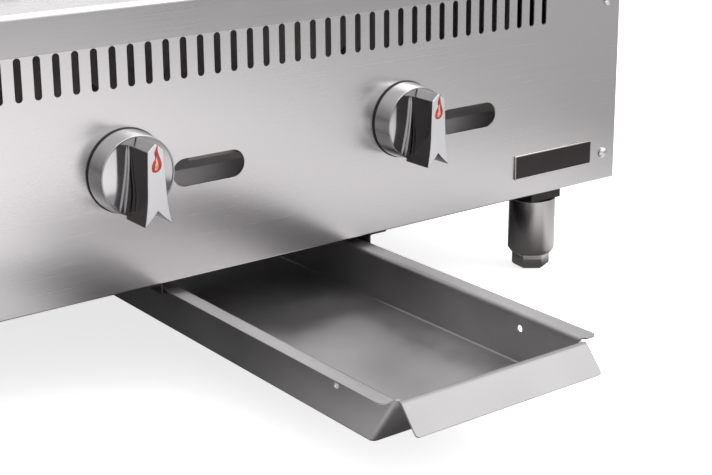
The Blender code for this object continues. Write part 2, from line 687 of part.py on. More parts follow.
# ---- legs --------------------------------------------------------------------------------------------------
def legs():
    bore = 0.0063
    for end, y in (("front", FRONT + LEG_INSET), ("rear", BACK - LEG_INSET)):
        for name, side in SIDES:
            x = side * (HALF - LEG_INSET)
            profile = [
                (0, LEG_TOP),
                (LEG_R, LEG_TOP),
                (LEG_R, 0.0180),
                (LEG_R - 0.0030, LEG_LOW),
                (bore, LEG_LOW),
                (bore, 0.0380),
                (0, 0.0380),
            ]
            bm = turned(profile, 24, Matrix.Translation((x, y, 0)))
            leg = add(f"leg_{end}_{name}", bm, "leg_steel", round_piece=True)
            low = (x - LEG_BLOCK, y - LEG_BLOCK, LEG_TOP - 0.004)
            high = (x + LEG_BLOCK, y + LEG_BLOCK, PANEL_LOW - GAP)
            join(leg, f"leg_block_{end}_{name}", box(low, high))
            top = LEG_LOW - GAP
            foot = [(x + FOOT_R * math.cos(a + 0.4), y + FOOT_R * math.sin(a + 0.4)) for a in turn(6)]
            piece = add(f"foot_{end}_{name}", prism(foot, "Z", 0, top), "leg_steel", (x, y, 0))
            rod = [(x + STUD_R * math.cos(a), y + STUD_R * math.sin(a)) for a in turn(12)]
            join(piece, f"foot_stud_{end}_{name}", prism(rod, "Z", 0.002, 0.0365))


def main():
    clear_scene()
    front_panel()
    front_ledge()
    side_panels()
    rear_panel()
    back_splash()
    base_sheets()
    panel_screws()
    nameplate()
    side_trims()
    tray_rails()
    crumb_tray()
    drip_pans()
    firebox()
    burners()
    radiants()
    grates()
    grate_rests()
    gas_pipes()
    valves()
    air_shutters()
    pilots()
    knobs()
    legs()


main()
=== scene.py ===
import json

import bmesh
import bpy
import numpy as np
from bpy.props import FloatProperty, FloatVectorProperty, IntProperty, PointerProperty
from mathutils import Matrix, Vector


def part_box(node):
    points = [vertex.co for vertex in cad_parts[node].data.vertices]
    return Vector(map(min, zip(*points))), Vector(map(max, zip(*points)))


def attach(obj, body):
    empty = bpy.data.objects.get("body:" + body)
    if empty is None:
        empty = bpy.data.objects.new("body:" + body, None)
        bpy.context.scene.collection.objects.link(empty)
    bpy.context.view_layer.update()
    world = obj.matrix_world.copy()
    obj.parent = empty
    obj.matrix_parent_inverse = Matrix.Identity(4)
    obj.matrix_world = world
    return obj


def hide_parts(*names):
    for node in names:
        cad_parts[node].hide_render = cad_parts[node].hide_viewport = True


bl_info = {
    "name": "Charbroiler looks",
    "version": (1, 0, 0),
    "blender": (4, 5, 0),
    "location": "View3D > Sidebar > Charbroiler",
    "description": "Builds the visible pieces and finishes of a countertop gas charbroiler",
    "category": "Add Mesh",
}

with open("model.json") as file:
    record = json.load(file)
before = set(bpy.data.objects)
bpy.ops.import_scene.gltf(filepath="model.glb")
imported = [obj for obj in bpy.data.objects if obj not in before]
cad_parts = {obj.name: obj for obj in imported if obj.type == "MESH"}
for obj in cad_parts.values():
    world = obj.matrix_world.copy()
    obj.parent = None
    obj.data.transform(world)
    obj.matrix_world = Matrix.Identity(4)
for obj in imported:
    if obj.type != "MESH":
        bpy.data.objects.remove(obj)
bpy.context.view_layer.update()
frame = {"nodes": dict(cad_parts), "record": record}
SIDES = (("left", -1.0), ("right", 1.0))
TURN = 2 * np.pi


def low(node):
    return np.array(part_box(node)[0])


def high(node):
    return np.array(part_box(node)[1])


def middle(node):
    return (low(node) + high(node)) / 2


FRONT = float(low("front_panel")[1])
HALF = float(high("front_panel")[0])


# ---- sizes that the solids and the visible pieces share, in metres -------------------------------
SHEET = 0.0012
SEAM = 0.0002  # left between two visible pieces that touch
LIGHTING_SLOT = (0.0308, 0.0816, 0.1297, 0.1470)  # right of the knob's axis from, to; low z, high z
SKIN_TOP = 0.243  # top of the side skins beside the ledge
KNOB_FOOT, KNOB_FACE, GRIP_FACE = 0.0014, 0.0149, 0.0360  # distances from the panel
CROWN_FOOT, CROWN, CROWN_RADIUS = 0.0143, 0.0011, 0.0229  # of the knob's face: reach at its rim, rise, radius
SEAL_BORE, SEAL_RADIUS = 0.0090, 0.0257
SEAL_BACK, SEAL_FRONT = 0.0003, 0.0012
TRAY_HALF, TRAY_LIP = 0.0665, 0.0102  # half the tub's width, and how far each lip stands out from it
TRAY_FOOT, TRAY_CREST = 0.1890, 0.2113  # the leaning front wall's foot and top, in front of the panel
HANDLE_REACH, HANDLE_LOW = 0.2251, 0.0501
TRAY_HOLE = (0.158, 0.0569, 0.0022)  # in each side wall: distance in front of the panel, height, radius
RAIL_FLANGE = 0.0118
LEG_RADIUS, LEG_BORE, LEG_FOOT, LEG_TOP = 0.0176, 0.0063, 0.0117, 0.0547
LEG_BLOCK = 0.0152  # half the side of the square block over each leg
FOOT_RADIUS, FOOT_TURN = 0.0143, 0.4  # to the hexagon's corners, and its turn in radians
STUD_TOP = 0.0365


# ---- sizes and colours that a user may change ----------------------------------------------------
def length(name, description, default):
    return FloatProperty(name=name, description=description, default=default, min=0.0, unit="LENGTH",
                         precision=5)


def colour(name, description, default):
    return FloatVectorProperty(name=name, description=description, default=default, size=3, subtype="COLOR",
                               min=0.0, max=1.0)


class CharbroilerSizes(bpy.types.PropertyGroup):
    """Sizes of the detail that the solids leave out."""

    vent_count: IntProperty(name="Vent slots", description="Slots under the ledge", default=40, min=1)
    vent_pitch: length("Vent pitch", "Distance from one vent slot to the next", 0.01163)
    vent_shift: length("Vent shift", "How far the row of slots sits right of the middle", 0.0021)
    vent_width: length("Vent width", "Width of one vent slot", 0.0045)
    vent_low: length("Vent foot", "Height of the slots' lower ends", 0.1953)
    vent_high: length("Vent top", "Height of the slots' upper ends", 0.2203)
    bend: length("Bend radius", "Outer radius of the folds in the front panel", 0.0010)
    ledge_bend: length("Ledge bend", "Outer radius of the ledge's rounded front edge", 0.0040)
    knob_base: length("Knob base radius", "Radius of the knob's drum at the panel", 0.0253)
    knob_face: length("Knob face radius", "Radius of the knob's drum at its face", 0.0239)
    tray_corner: length("Tray corner radius", "Radius of the tray's upright corners", 0.0040)
    tray_bend: length("Tray bend radius", "Radius of the folds round the tray's floor", 0.0022)


class CharbroilerFinishes(bpy.types.PropertyGroup):
    """Colours of the finishes."""

    stainless: colour("Brushed stainless", "Satin stainless steel of the casing", (0.74, 0.725, 0.73))
    chrome: colour("Chrome", "Polished knobs", (0.80, 0.79, 0.80))
    # Painted reflection: the grips' sides are the knobs' chrome, darkened to near black to stand for the dark
    # surroundings they mirror.
    smoked: colour("Chrome painted dark", "Dark mirror sides of the grips", (0.11, 0.10, 0.10))
    # Painted reflection: the knobs' crowned faces are their chrome, darkened to stand for the darker
    # surroundings they mirror.
    mirror: colour("Mirror", "Crowned faces of the knobs", (0.62, 0.61, 0.62))
    # Painted reflection: the grips' sloped tops are the knobs' chrome, darkened to a mid grey for what they
    # mirror.
    gable: colour("Gable", "Sloped tops of the grips", (0.42, 0.41, 0.41))
    silver: colour("Silver satin", "Front face of the grips", (0.84, 0.84, 0.86))
    tray: colour("Tray steel", "Dull grey sheet of the crumb tray", (0.41, 0.40, 0.405))
    sheet: colour("Grey sheet", "Dull sheet inside the firebox", (0.50, 0.48, 0.48))
    leg: colour("Leg steel", "Turned legs and their feet", (0.60, 0.57, 0.565))
    dark: colour("Dark steel", "Thin black paint of the rails and rests", (0.030, 0.026, 0.025))
    burner: colour("Burner steel", "Tube steel that has been hot", (0.42, 0.39, 0.37))
    brass: colour("Brass", "Valves, stems and pilots", (0.66, 0.49, 0.24))
    iron: colour("Cast iron", "Seasoned grates and radiants", (0.040, 0.039, 0.040))
    flame: colour("Flame red", "Enamel of the flame marks", (0.62, 0.06, 0.035))
    plate: colour("Nameplate", "Dark enamel of the blank nameplate", (0.010, 0.006, 0.007))


class CharbroilerStage(bpy.types.PropertyGroup):
    """Floor, light and camera."""

    floor: colour("Floor", "Pale floor", (0.93, 0.93, 0.93))
    sky: FloatProperty(name="Sky", description="Strength of the soft light all round", default=1.0, min=0.0)
    lens: FloatProperty(name="Lens", description="Focal length in millimetres", default=76.40, min=1.0)


# ---- meshes --------------------------------------------------------------------------------------
def net(rows, columns, wrap=False):
    """Quads between the points of a grid, as indices. Wrap joins the last column to the first."""
    i = np.arange(rows - 1)[:, None]
    j = np.arange(columns if wrap else columns - 1)[None, :]
    k = (j + 1) % columns
    corners = [i * columns + j, i * columns + k, (i + 1) * columns + k, (i + 1) * columns + j]
    return np.stack(corners, -1).reshape(-1, 4)


def patch(points, wrap=False, flip=False, finish=0):
    """One surface from a grid of points (rows, columns, 3): its points, its quads and its finish's index."""
    points = np.asarray(points, float)
    quads = net(points.shape[0], points.shape[1], wrap)
    return points.reshape(-1, 3), quads[:, ::-1] if flip else quads, finish


def joined(parts, weld=2e-6):
    """Puts surfaces together.

    Points closer than the weld become one, and a quad with two equal corners becomes a triangle.
    """
    starts = np.cumsum([0] + [len(p[0]) for p in parts[:-1]])
    points = np.concatenate([p[0] for p in parts])
    quads = np.concatenate([p[1] + s for p, s in zip(parts, starts, strict=True)])
    finish = np.concatenate([np.full(len(p[1]), p[2]) for p in parts])
    cells = np.round(points / weld).astype(np.int64)
    _, first, index = np.unique(cells, axis=0, return_index=True, return_inverse=True)
    points, quads = points[first], index.reshape(-1)[quads]
    same = quads == np.roll(quads, -1, axis=1)
    whole, thin = same.sum(1) == 0, same.sum(1) == 1
    lost = same[thin].argmax(1)
    around = (lost[:, None] + np.array([1, 2, 3])) % 4
    triangles = np.take_along_axis(quads[thin], around, 1)
    return points, quads[whole], triangles, np.concatenate([finish[whole], finish[thin]])


def fill_mesh(name, parts, inside=None):
    """A mesh from joined surfaces, whose faces agree and look away from the inside point if one is given."""
    points, quads, triangles, finish = joined(parts)
    mesh = bpy.data.meshes.new(name)
    mesh.vertices.add(len(points))
    mesh.vertices.foreach_set("co", points.astype(np.float32).reshape(-1))
    corners = np.concatenate([quads.reshape(-1), triangles.reshape(-1)]).astype(np.int32)
    mesh.loops.add(len(corners))
    mesh.loops.foreach_set("vertex_index", corners)
    counts = np.concatenate([np.full(len(quads), 4), np.full(len(triangles), 3)])
    mesh.polygons.add(len(counts))
    mesh.polygons.foreach_set("loop_start", np.concatenate([[0], np.cumsum(counts)[:-1]]).astype(np.int32))
    mesh.polygons.foreach_set("material_index", finish.astype(np.int32))
    mesh.update(calc_edges=True)
    mesh.validate()
    bm = bmesh.new()
    bm.from_mesh(mesh)
    bmesh.ops.recalc_face_normals(bm, faces=bm.faces)
    bm.to_mesh(mesh)
    bm.free()
    if inside is not None:
        centres, normals = np.empty(len(counts) * 3), np.empty(len(counts) * 3)
        areas = np.empty(len(counts))
        mesh.polygons.foreach_get("center", centres)
        mesh.polygons.foreach_get("normal", normals)
        mesh.polygons.foreach_get("area", areas)
        away = ((centres.reshape(-1, 3) - inside) * normals.reshape(-1, 3)).sum(1) @ areas
        if away < 0:
            mesh.flip_normals()
    return mesh


def piece(name, parts, finishes, body="casing", nodes=(), inside=None, wall=0.0, bevel=0.0,
          steps=2):
    """Makes a visible piece that rides on a body and stands for CAD nodes. A wall goes inwards."""
    mesh = fill_mesh(name, parts, inside)
    for finish in finishes:
        mesh.materials.append(finish)
    mesh.shade_smooth()
    mesh.set_sharp_from_angle(angle=np.radians(32))
    made = bpy.data.objects.new(name, mesh)
    bpy.context.scene.collection.objects.link(made)
    if wall:
        thick = made.modifiers.new("wall", "SOLIDIFY")
        thick.thickness = wall
        thick.offset = -1.0
        thick.use_even_offset = True
    if bevel:
        soft = made.modifiers.new("edges", "BEVEL")
        soft.width = bevel
        soft.segments = steps
        soft.limit_method = "ANGLE"
        soft.angle_limit = np.radians(40)
        soft.harden_normals = True
        soft.use_clamp_overlap = True
    if nodes:
        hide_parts(*nodes)
    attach(made, body)
    return made


def turned(profile, segments, centre, finish=0):
    """A surface of revolution facing the operator: (radius, reach) points turned about a line along Y.

    x = cx + r cos a, z = cz + r sin a, y = cy - reach.
    """
    radius, reach = np.asarray(profile, float).T
    a = np.linspace(0, TURN, segments, endpoint=False)
    x = centre[0] + radius[:, None] * np.cos(a)
    z = centre[2] + radius[:, None] * np.sin(a)
    y = np.broadcast_to(centre[1] - reach[:, None], x.shape)
    return patch(np.stack([x, y, z], -1), wrap=True, finish=finish)


def upright(profile, segments, centre):
    """A surface of revolution about an upright line: x = cx + r cos a, y = cy + r sin a, z = height."""
    radius, height = np.asarray(profile, float).T
    a = np.linspace(0, TURN, segments, endpoint=False)
    x = centre[0] + radius[:, None] * np.cos(a)
    y = centre[1] + radius[:, None] * np.sin(a)
    z = np.broadcast_to(height[:, None], x.shape)
    return patch(np.stack([x, y, z], -1), wrap=True)


def rounded(corners, radius, steps=5, closed=True):
    """A line of points with each corner replaced by an arc that touches both of its sides.

    The arc's centre lies on the corner's bisector at r / sin(half angle). It starts r / tan(half angle) away.
    """
    p = np.asarray(corners, float)
    r = np.broadcast_to(np.asarray(radius, float), (len(p),))
    before, after = np.roll(p, 1, 0), np.roll(p, -1, 0)
    one = before - p
    two = after - p
    one /= np.linalg.norm(one, axis=1, keepdims=True)
    two /= np.linalg.norm(two, axis=1, keepdims=True)
    half = np.arccos(np.clip((one * two).sum(1), -1, 1)) / 2
    run = r / np.tan(half)
    bisector = one + two
    bisector /= np.maximum(np.linalg.norm(bisector, axis=1, keepdims=True), 1e-9)
    centre = p + bisector * (r / np.sin(half))[:, None]
    start, end = p + one * run[:, None] - centre, p + two * run[:, None] - centre
    t = np.linspace(0, 1, steps + 1)[None, :, None]
    arc = start[:, None] * (1 - t) + end[:, None] * t
    arc *= (r / np.maximum(np.linalg.norm(arc, axis=2), 1e-12).T).T[..., None]
    made = centre[:, None] + arc
    if closed:
        return made.reshape(-1, p.shape[1])
    return np.concatenate([p[:1], made[1:-1].reshape(-1, p.shape[1]), p[-1:]])


def carried(profile, axis, stations, flip=False, finish=0):
    """A profile carried straight along an axis. It holds the other two coordinates in X, Y, Z order."""
    profile, stations = np.asarray(profile, float), np.asarray(stations, float)
    others = [k for k in range(3) if k != axis]
    points = np.empty((len(stations), len(profile), 3))
    points[..., others] = profile
    points[..., axis] = stations[:, None]
    return patch(points, flip=flip, finish=finish)


def bar(profile, axis, start, end, chamfer=0.0):
    """A closed bar: a convex profile carried along an axis, both ends drawn in to the profile's middle."""
    profile = np.asarray(profile, float)
    centre = profile.mean(0)
    tip = np.broadcast_to(centre, profile.shape)
    inner = centre + (profile - centre) * 0.8
    others = [k for k in range(3) if k != axis]
    points = np.empty((6, len(profile), 3))
    points[..., others] = np.stack([tip, inner, profile, profile, inner, tip])
    points[..., axis] = np.array([start, start, start + chamfer, end - chamfer, end, end])[:, None]
    return patch(points, wrap=True)


def hole_levels(reach, width, angles):
    """Where rays at even angles from the middle of a hole's end cross its cell, up the sides and along the end.

    A ray at angle a meets the side, width away, at width tan a, and the end, reach away, at reach / tan a.
    """
    slope = np.tan(np.radians(angles[(angles > 0) & (angles < 90)]))
    side = width * slope
    side = side[side < reach]
    ends = reach / slope
    ends = ends[ends < width]
    return side, np.concatenate([-ends, [0], ends])


def plate(us, vs, holes):
    """A flat sheet on a grid of levels, with a rounded slot in each cell that a hole names.

    A hole is (cell, line, radius): the cell's low and high corner, the ends of the slot's centre line, and
    its radius. Each point on the cell's edge is joined to the nearest point of the slot's outline, which is
    the centre line's nearest point plus the radius towards the cell's edge.
    """
    us, vs = np.unique(np.round(us, 7)), np.unique(np.round(vs, 7))
    u, v = np.meshgrid(us, vs)
    quads = net(len(vs), len(us))
    flat = np.stack([u, v], -1).reshape(-1, 2)
    middles = flat[quads].mean(1)
    keep = np.ones(len(quads), bool)
    parts = []
    for (a, b), (p, q), radius in holes:
        a, b, p, q = (np.asarray(k, float) for k in (a, b, p, q))
        keep &= ~((middles > a).all(1) & (middles < b).all(1))
        across = us[(us > a[0] - 1e-7) & (us < b[0] + 1e-7)]
        along = vs[(vs > a[1] - 1e-7) & (vs < b[1] + 1e-7)]
        edge = np.concatenate([
            np.stack([across, np.full(len(across), along[0])], 1)[:-1],
            np.stack([np.full(len(along), across[-1]), along], 1)[:-1],
            np.stack([across, np.full(len(across), along[-1])], 1)[::-1][:-1],
            np.stack([np.full(len(along), across[0]), along], 1)[::-1][:-1],
        ])
        run = q - p
        share = np.clip(((edge - p) @ run) / max(run @ run, 1e-12), 0, 1)
        near = p + share[:, None] * run
        out = edge - near
        rim = near + radius * out / np.linalg.norm(out, axis=1, keepdims=True)
        ring = np.stack([rim, edge])
        parts.append((ring.reshape(-1, 2), net(2, len(edge), True)[:, ::-1]))
    parts.insert(0, (flat, quads[keep]))
    return parts


def lay_grain(made):
    """A UV map named grain, with u along X and v along Z in metres, for a finish that is drawn along X."""
    mesh = made.data
    corners = np.empty(len(mesh.loops), np.int32)
    mesh.loops.foreach_get("vertex_index", corners)
    points = np.empty(len(mesh.vertices) * 3, np.float32)
    mesh.vertices.foreach_get("co", points)
    laid = points.reshape(-1, 3)[corners][:, [0, 2]]
    mesh.uv_layers.new(name="grain").uv.foreach_set("vector", laid.reshape(-1))


def stood(parts, place, flip=False, finish=0):
    """Turns the flat parts of a plate into surfaces by a function from (u, v) to a point."""
    return [(place(p[:, 0], p[:, 1]), q[:, ::-1] if flip else q, finish) for p, q in parts]


# ---- materials -----------------------------------------------------------------------------------
class Finish:
    """A node material on Object coordinates, with helpers for the few nodes that it is made of."""

    def __init__(self, name, colour, roughness, metallic=0.0):
        self.material = bpy.data.materials.new(name)
        self.material.use_nodes = True
        self.nodes, self.links = self.material.node_tree.nodes, self.material.node_tree.links
        self.shader = self.nodes["Principled BSDF"]
        self.shader.inputs["Metallic"].default_value = metallic
        self.shader.inputs["Roughness"].default_value = roughness
        self.shader.inputs["Base Color"].default_value = (*colour, 1)
        self.coordinates = self.nodes.new("ShaderNodeTexCoord").outputs["Object"]

    def noise(self, scale, stretch=(1, 1, 1), detail=3.0, rough=0.5):
        turn = self.nodes.new("ShaderNodeMapping")
        turn.inputs["Scale"].default_value = stretch
        self.links.new(self.coordinates, turn.inputs["Vector"])
        made = self.nodes.new("ShaderNodeTexNoise")
        made.inputs["Scale"].default_value = scale
        made.inputs["Detail"].default_value = detail
        made.inputs["Roughness"].default_value = rough
        self.links.new(turn.outputs["Vector"], made.inputs["Vector"])
        return made.outputs["Fac"]

    def range(self, value, from_low, from_high, to_low, to_high):
        made = self.nodes.new("ShaderNodeMapRange")
        for socket, number in zip(("From Min", "From Max", "To Min", "To Max"),
                                  (from_low, from_high, to_low, to_high), strict=True):
            made.inputs[socket].default_value = number
        self.links.new(value, made.inputs["Value"])
        return made.outputs["Result"]

    def math(self, operation, one, two):
        made = self.nodes.new("ShaderNodeMath")
        made.operation = operation
        for socket, value in zip(made.inputs, (one, two), strict=False):
            if isinstance(value, (int, float)):
                socket.default_value = value
            else:
                self.links.new(value, socket)
        return made.outputs["Value"]

    def tint(self, share, dark, light):
        """Base colour that runs from dark to light as the share goes from 0 to 1."""
        made = self.nodes.new("ShaderNodeMix")
        made.data_type = "RGBA"
        made.inputs["A"].default_value = (*dark, 1)
        made.inputs["B"].default_value = (*light, 1)
        self.links.new(share, made.inputs["Factor"])
        self.links.new(made.outputs["Result"], self.shader.inputs["Base Color"])

    def rough(self, value):
        self.links.new(value, self.shader.inputs["Roughness"])

    def bump(self, height, strength, distance=0.0002):
        made = self.nodes.new("ShaderNodeBump")
        made.inputs["Strength"].default_value = strength
        made.inputs["Distance"].default_value = distance
        self.links.new(height, made.inputs["Height"])
        self.links.new(made.outputs["Normal"], self.shader.inputs["Normal"])


def shade(colour, factor):
    return tuple(min(1.0, c * factor) for c in colour)


def brushed(name, colour, roughness, stretch, streak=0.05, spread=0.07, dent=0.05, drawn=0.0):
    """Satin sheet: fine streaks along the grain, wide faint clouds in the sheen, a trace of bump.

    Drawn is how far reflections stretch across the grain, on a piece that has the grain's UV map.
    """
    made = Finish(name, colour, roughness, 1.0)
    streaks = made.noise(900, stretch, 4.0, 0.6)
    clouds = made.noise(9, (1, 1, 1), 4.0, 0.55)
    grain = made.noise(2600, (1, 1, 1), 2.0, 0.5)
    mixed = made.math("ADD", made.math("MULTIPLY", streaks, 0.55), made.math("MULTIPLY", clouds, 0.45))
    made.tint(made.range(mixed, 0.34, 0.66, 0, 1), shade(colour, 1 - streak), shade(colour, 1 + streak))
    made.rough(made.range(mixed, 0.35, 0.65, roughness - spread, roughness + spread))
    made.bump(made.math("ADD", made.math("MULTIPLY", streaks, 0.7), made.math("MULTIPLY", grain, 0.3)), dent)
    if drawn:
        made.shader.inputs["Anisotropic"].default_value = drawn
        along = made.nodes.new("ShaderNodeTangent")
        along.direction_type = "UV_MAP"
        along.uv_map = "grain"
        made.links.new(along.outputs["Tangent"], made.shader.inputs["Tangent"])
    return made.material


def polished(name, colour, roughness, haze=0.04):
    """Mirror plating with faint wipe marks in its sheen."""
    made = Finish(name, colour, roughness, 1.0)
    wipes = made.noise(120, (1, 1, 0.25), 5.0, 0.6)
    made.tint(made.range(wipes, 0.35, 0.7, 0, 1), shade(colour, 0.96), colour)
    made.rough(made.range(wipes, 0.4, 0.7, roughness, roughness + haze))
    return made.material


def dull_sheet(name, colour, roughness, metallic=0.65):
    """Mill-finish sheet: cloudy colour, patches of sheen and a fine grain."""
    made = Finish(name, colour, roughness, metallic)
    clouds = made.noise(16, (1, 1, 1), 5.0, 0.6)
    grain = made.noise(1500, (1, 0.08, 1), 3.0, 0.6)
    made.tint(made.range(clouds, 0.3, 0.7, 0, 1), shade(colour, 0.90), shade(colour, 1.08))
    made.rough(made.range(clouds, 0.3, 0.7, roughness - 0.05, roughness + 0.08))
    made.bump(grain, 0.06)
    return made.material


def cast(name, colour):
    """Seasoned cast iron: sandy skin, patches of brown bloom, oily patches."""
    made = Finish(name, colour, 0.62, 0.35)
    sand = made.noise(1100, (1, 1, 1), 4.0, 0.65)
    bloom = made.noise(38, (1, 1, 1), 5.0, 0.6)
    brown = (colour[0] * 2.1, colour[1] * 1.55, colour[2] * 1.25)
    made.tint(made.range(bloom, 0.42, 0.72, 0, 1), colour, brown)
    made.rough(made.range(bloom, 0.3, 0.7, 0.48, 0.78))
    made.bump(sand, 0.55, 0.0004)
    return made.material


def painted(name, colour, roughness, grit=900):
    """Thin dark paint or moulded black: mottled sheen over a faint orange-peel skin."""
    made = Finish(name, colour, roughness)
    skin = made.noise(grit, (1, 1, 1), 3.0, 0.5)
    wear = made.noise(45, (1, 1, 1), 5.0, 0.6)
    made.tint(made.range(wear, 0.35, 0.75, 0, 1), colour, shade(colour, 1.6))
    made.rough(made.range(wear, 0.3, 0.7, roughness - 0.08, roughness + 0.10))
    made.bump(skin, 0.12)
    return made.material


def heat_toned(name, colour, roughness):
    """Steel tube that has been hot: straw and blue bands of temper colour along it."""
    made = Finish(name, colour, roughness, 0.9)
    bands = made.noise(14, (1, 1, 1), 4.0, 0.6)
    scale = made.noise(700, (1, 1, 1), 3.0, 0.6)
    straw = (colour[0] * 1.1, colour[1], colour[2] * 0.82)
    made.tint(made.range(bands, 0.35, 0.65, 0, 1), shade(colour, 0.62), straw)
    made.rough(made.range(bands, 0.3, 0.7, roughness - 0.08, roughness + 0.12))
    made.bump(scale, 0.12)
    return made.material


def enamel(name, dark, light, roughness):
    """Glossy print enamel with small soft clouds of a darker tone."""
    made = Finish(name, light, roughness)
    clouds = made.noise(260, (1, 1, 1), 2.0, 0.5)
    made.tint(made.range(clouds, 0.35, 0.65, 0, 1), dark, light)
    made.bump(made.noise(2500), 0.05)
    return made.material


def all_finishes():
    """Every finish by its name without the prefix, made at the first call."""
    kept = bpy.data.materials
    if kept.get("fin_stainless"):
        return {m.name[4:]: m for m in kept if m.name.startswith("fin_")}
    c = bpy.context.scene.charbroiler_finishes
    along, back = (0.012, 1, 1), (1, 0.012, 1)
    satin = {"streak": 0.03, "spread": 0.035, "dent": 0.014}
    made = [
        brushed("fin_stainless", c.stainless, 0.26, along, streak=0.03, spread=0.035, dent=0.008),
        brushed("fin_stainless_front", c.stainless, 0.26, along, streak=0.02, spread=0.02, dent=0.006,
                drawn=0.50),
        # Painted shade: the ledge's face is the casing's stainless at 0.74 of its brightness, for the less
        # light that it catches.
        brushed("fin_stainless_ledge", shade(c.stainless, 0.74), 0.30, along, **satin),
        brushed("fin_stainless_side", c.stainless, 0.33, back, **satin),
        polished("fin_chrome", c.chrome, 0.10),
        # Painted reflection: the drums' sides are the knobs' chrome at 0.64 of its brightness, for the dark
        # surroundings they mirror.
        polished("fin_drum", shade(c.chrome, 0.64), 0.12),
        # Painted reflection: near-black chrome for the grips' sides.
        polished("fin_smoked", c.smoked, 0.12),
        # Painted reflection: darker chrome for the knobs' crowned faces.
        polished("fin_mirror", c.mirror, 0.08),
        # Painted reflection: mid-grey chrome for the grips' sloped tops.
        polished("fin_gable", c.gable, 0.14),
        brushed("fin_silver", c.silver, 0.42, (1, 1, 0.05), streak=0.02, spread=0.04, dent=0.02),
        dull_sheet("fin_tray", c.tray, 0.40, 0.95),
        dull_sheet("fin_sheet", c.sheet, 0.45, 0.7),
        dull_sheet("fin_strip", (0.30, 0.27, 0.26), 0.50, 0.7),
        # Painted shade: the handle is the tray's own sheet at 0.84 of its brightness, darkened against the
        # strong light on it.
        dull_sheet("fin_handle", shade(c.tray, 0.84), 0.42, 0.95),
        # Painted light: the gas manifold's pale grey stands in for the light that reaches it through the
        # lighting slots.
        dull_sheet("fin_galvanised", (0.86, 0.83, 0.83), 0.50, 0.25),
        brushed("fin_leg", c.leg, 0.20, (1, 1, 0.6), streak=0.04, spread=0.04, dent=0.015),
        painted("fin_dark", c.dark, 0.45),
        painted("fin_gasket", (0.012, 0.012, 0.012), 0.55),
        painted("fin_block", (0.022, 0.018, 0.017), 0.50),
        cast("fin_iron", c.iron),
        heat_toned("fin_burner", c.burner, 0.42),
        brushed("fin_brass", c.brass, 0.30, (1, 1, 1), streak=0.08),
        painted("fin_plate", c.plate, 0.22, 1500),
        brushed("fin_border", (0.75, 0.72, 0.71), 0.30, (0.05, 1, 1)),
        enamel("fin_flame", shade(c.flame, 0.55), c.flame, 0.30),
        enamel("fin_flame_core", (0.80, 0.30, 0.16), (0.95, 0.72, 0.60), 0.30),
    ]
    return {m.name[4:]: m for m in made}


# ---- casing --------------------------------------------------------------------------------------
def front_panel():
    """The folded front panel with its vent slots and lighting slots.

    The face is a plate on the grid of levels that its slots need. Each fold is a quarter circle carried along
    the edge: y = front + r (1 - cos a), while the height or the width draws back by r sin a. Then the sheet
    runs straight back. Each lower corner is an eighth of a ball between two folds.
    """
    s = bpy.context.scene.charbroiler_sizes
    r = s.bend
    box_low, box_high = low("front_panel"), high("front_panel")
    back, foot, top = box_high[1], box_low[2], box_high[2]
    us, vs, holes = [box_low[0] + r, box_high[0] - r], [foot + r, top], []
    angles = np.arange(0, 91, 11.25)
    centres = s.vent_shift + (np.arange(s.vent_count) - (s.vent_count - 1) / 2) * s.vent_pitch
    radius, wide = s.vent_width / 2, s.vent_pitch / 2
    reach = radius + 0.003
    one, two = s.vent_low + radius, s.vent_high - radius
    side, ends = hole_levels(reach, wide, angles)
    vs += [one - reach, one, two, two + reach, *(one - side), *(two + side)]
    us += [*(centres[:, None] + ends[None, :]).reshape(-1), *(centres - wide), centres[-1] + wide]
    for x in centres:
        holes.append((((x - wide, one - reach), (x + wide, two + reach)), ((x, one), (x, two)), radius))
    near, far, z_low, z_high = LIGHTING_SLOT
    radius, z = (z_high - z_low) / 2, (z_low + z_high) / 2
    reach = radius + 0.004
    side, ends = hole_levels(reach, reach, angles)
    vs += [z, z - reach, z + reach, *(z - side), *(z + side)]
    for name, _ in SIDES:
        x = middle(f"knob_{name}")[0]
        one, two = x + near + radius, x + far - radius
        us += [one - reach, two + reach, *(one + ends), *(two + ends)]
        holes.append((((one - reach, z - reach), (two + reach, z + reach)), ((one, z), (two, z)), radius))
    us, vs = np.unique(np.round(us, 7)), np.unique(np.round(vs, 7))
    parts = stood(plate(us, vs, holes), lambda u, v: np.stack([u, np.full(len(u), FRONT), v], 1))
    a = np.linspace(0, np.pi / 2, 6)
    out, drop = r * (1 - np.cos(a)), r * (1 - np.sin(a))
    depth = np.append(FRONT + out, back)
    fall = np.append(foot + drop, foot)
    grid = np.stack(np.broadcast_arrays(us[None, :], depth[:, None], fall[:, None]), -1)
    parts.append(patch(grid, flip=True))
    for sign in (-1, 1):
        edge = np.append(sign * (HALF - drop), sign * HALF)
        grid = np.stack(np.broadcast_arrays(edge[:, None], depth[:, None], vs[None, :]), -1)
        parts.append(patch(grid, flip=sign < 0))
        b = a[None, :]
        corner = np.stack([
            sign * (HALF - r + r * np.sin(a)[:, None] * np.sin(b)),
            FRONT + r - r * np.cos(a)[:, None] * np.ones_like(b),
            foot + r - r * np.sin(a)[:, None] * np.cos(b),
        ], -1)
        parts.append(patch(corner, flip=sign > 0))
    skin = piece("front_skin", parts, [all_finishes()["stainless_front"]], nodes=["front_panel"],
                 inside=(0, FRONT + 0.05, 0.15), wall=SHEET, bevel=0.0002)
    lay_grain(skin)


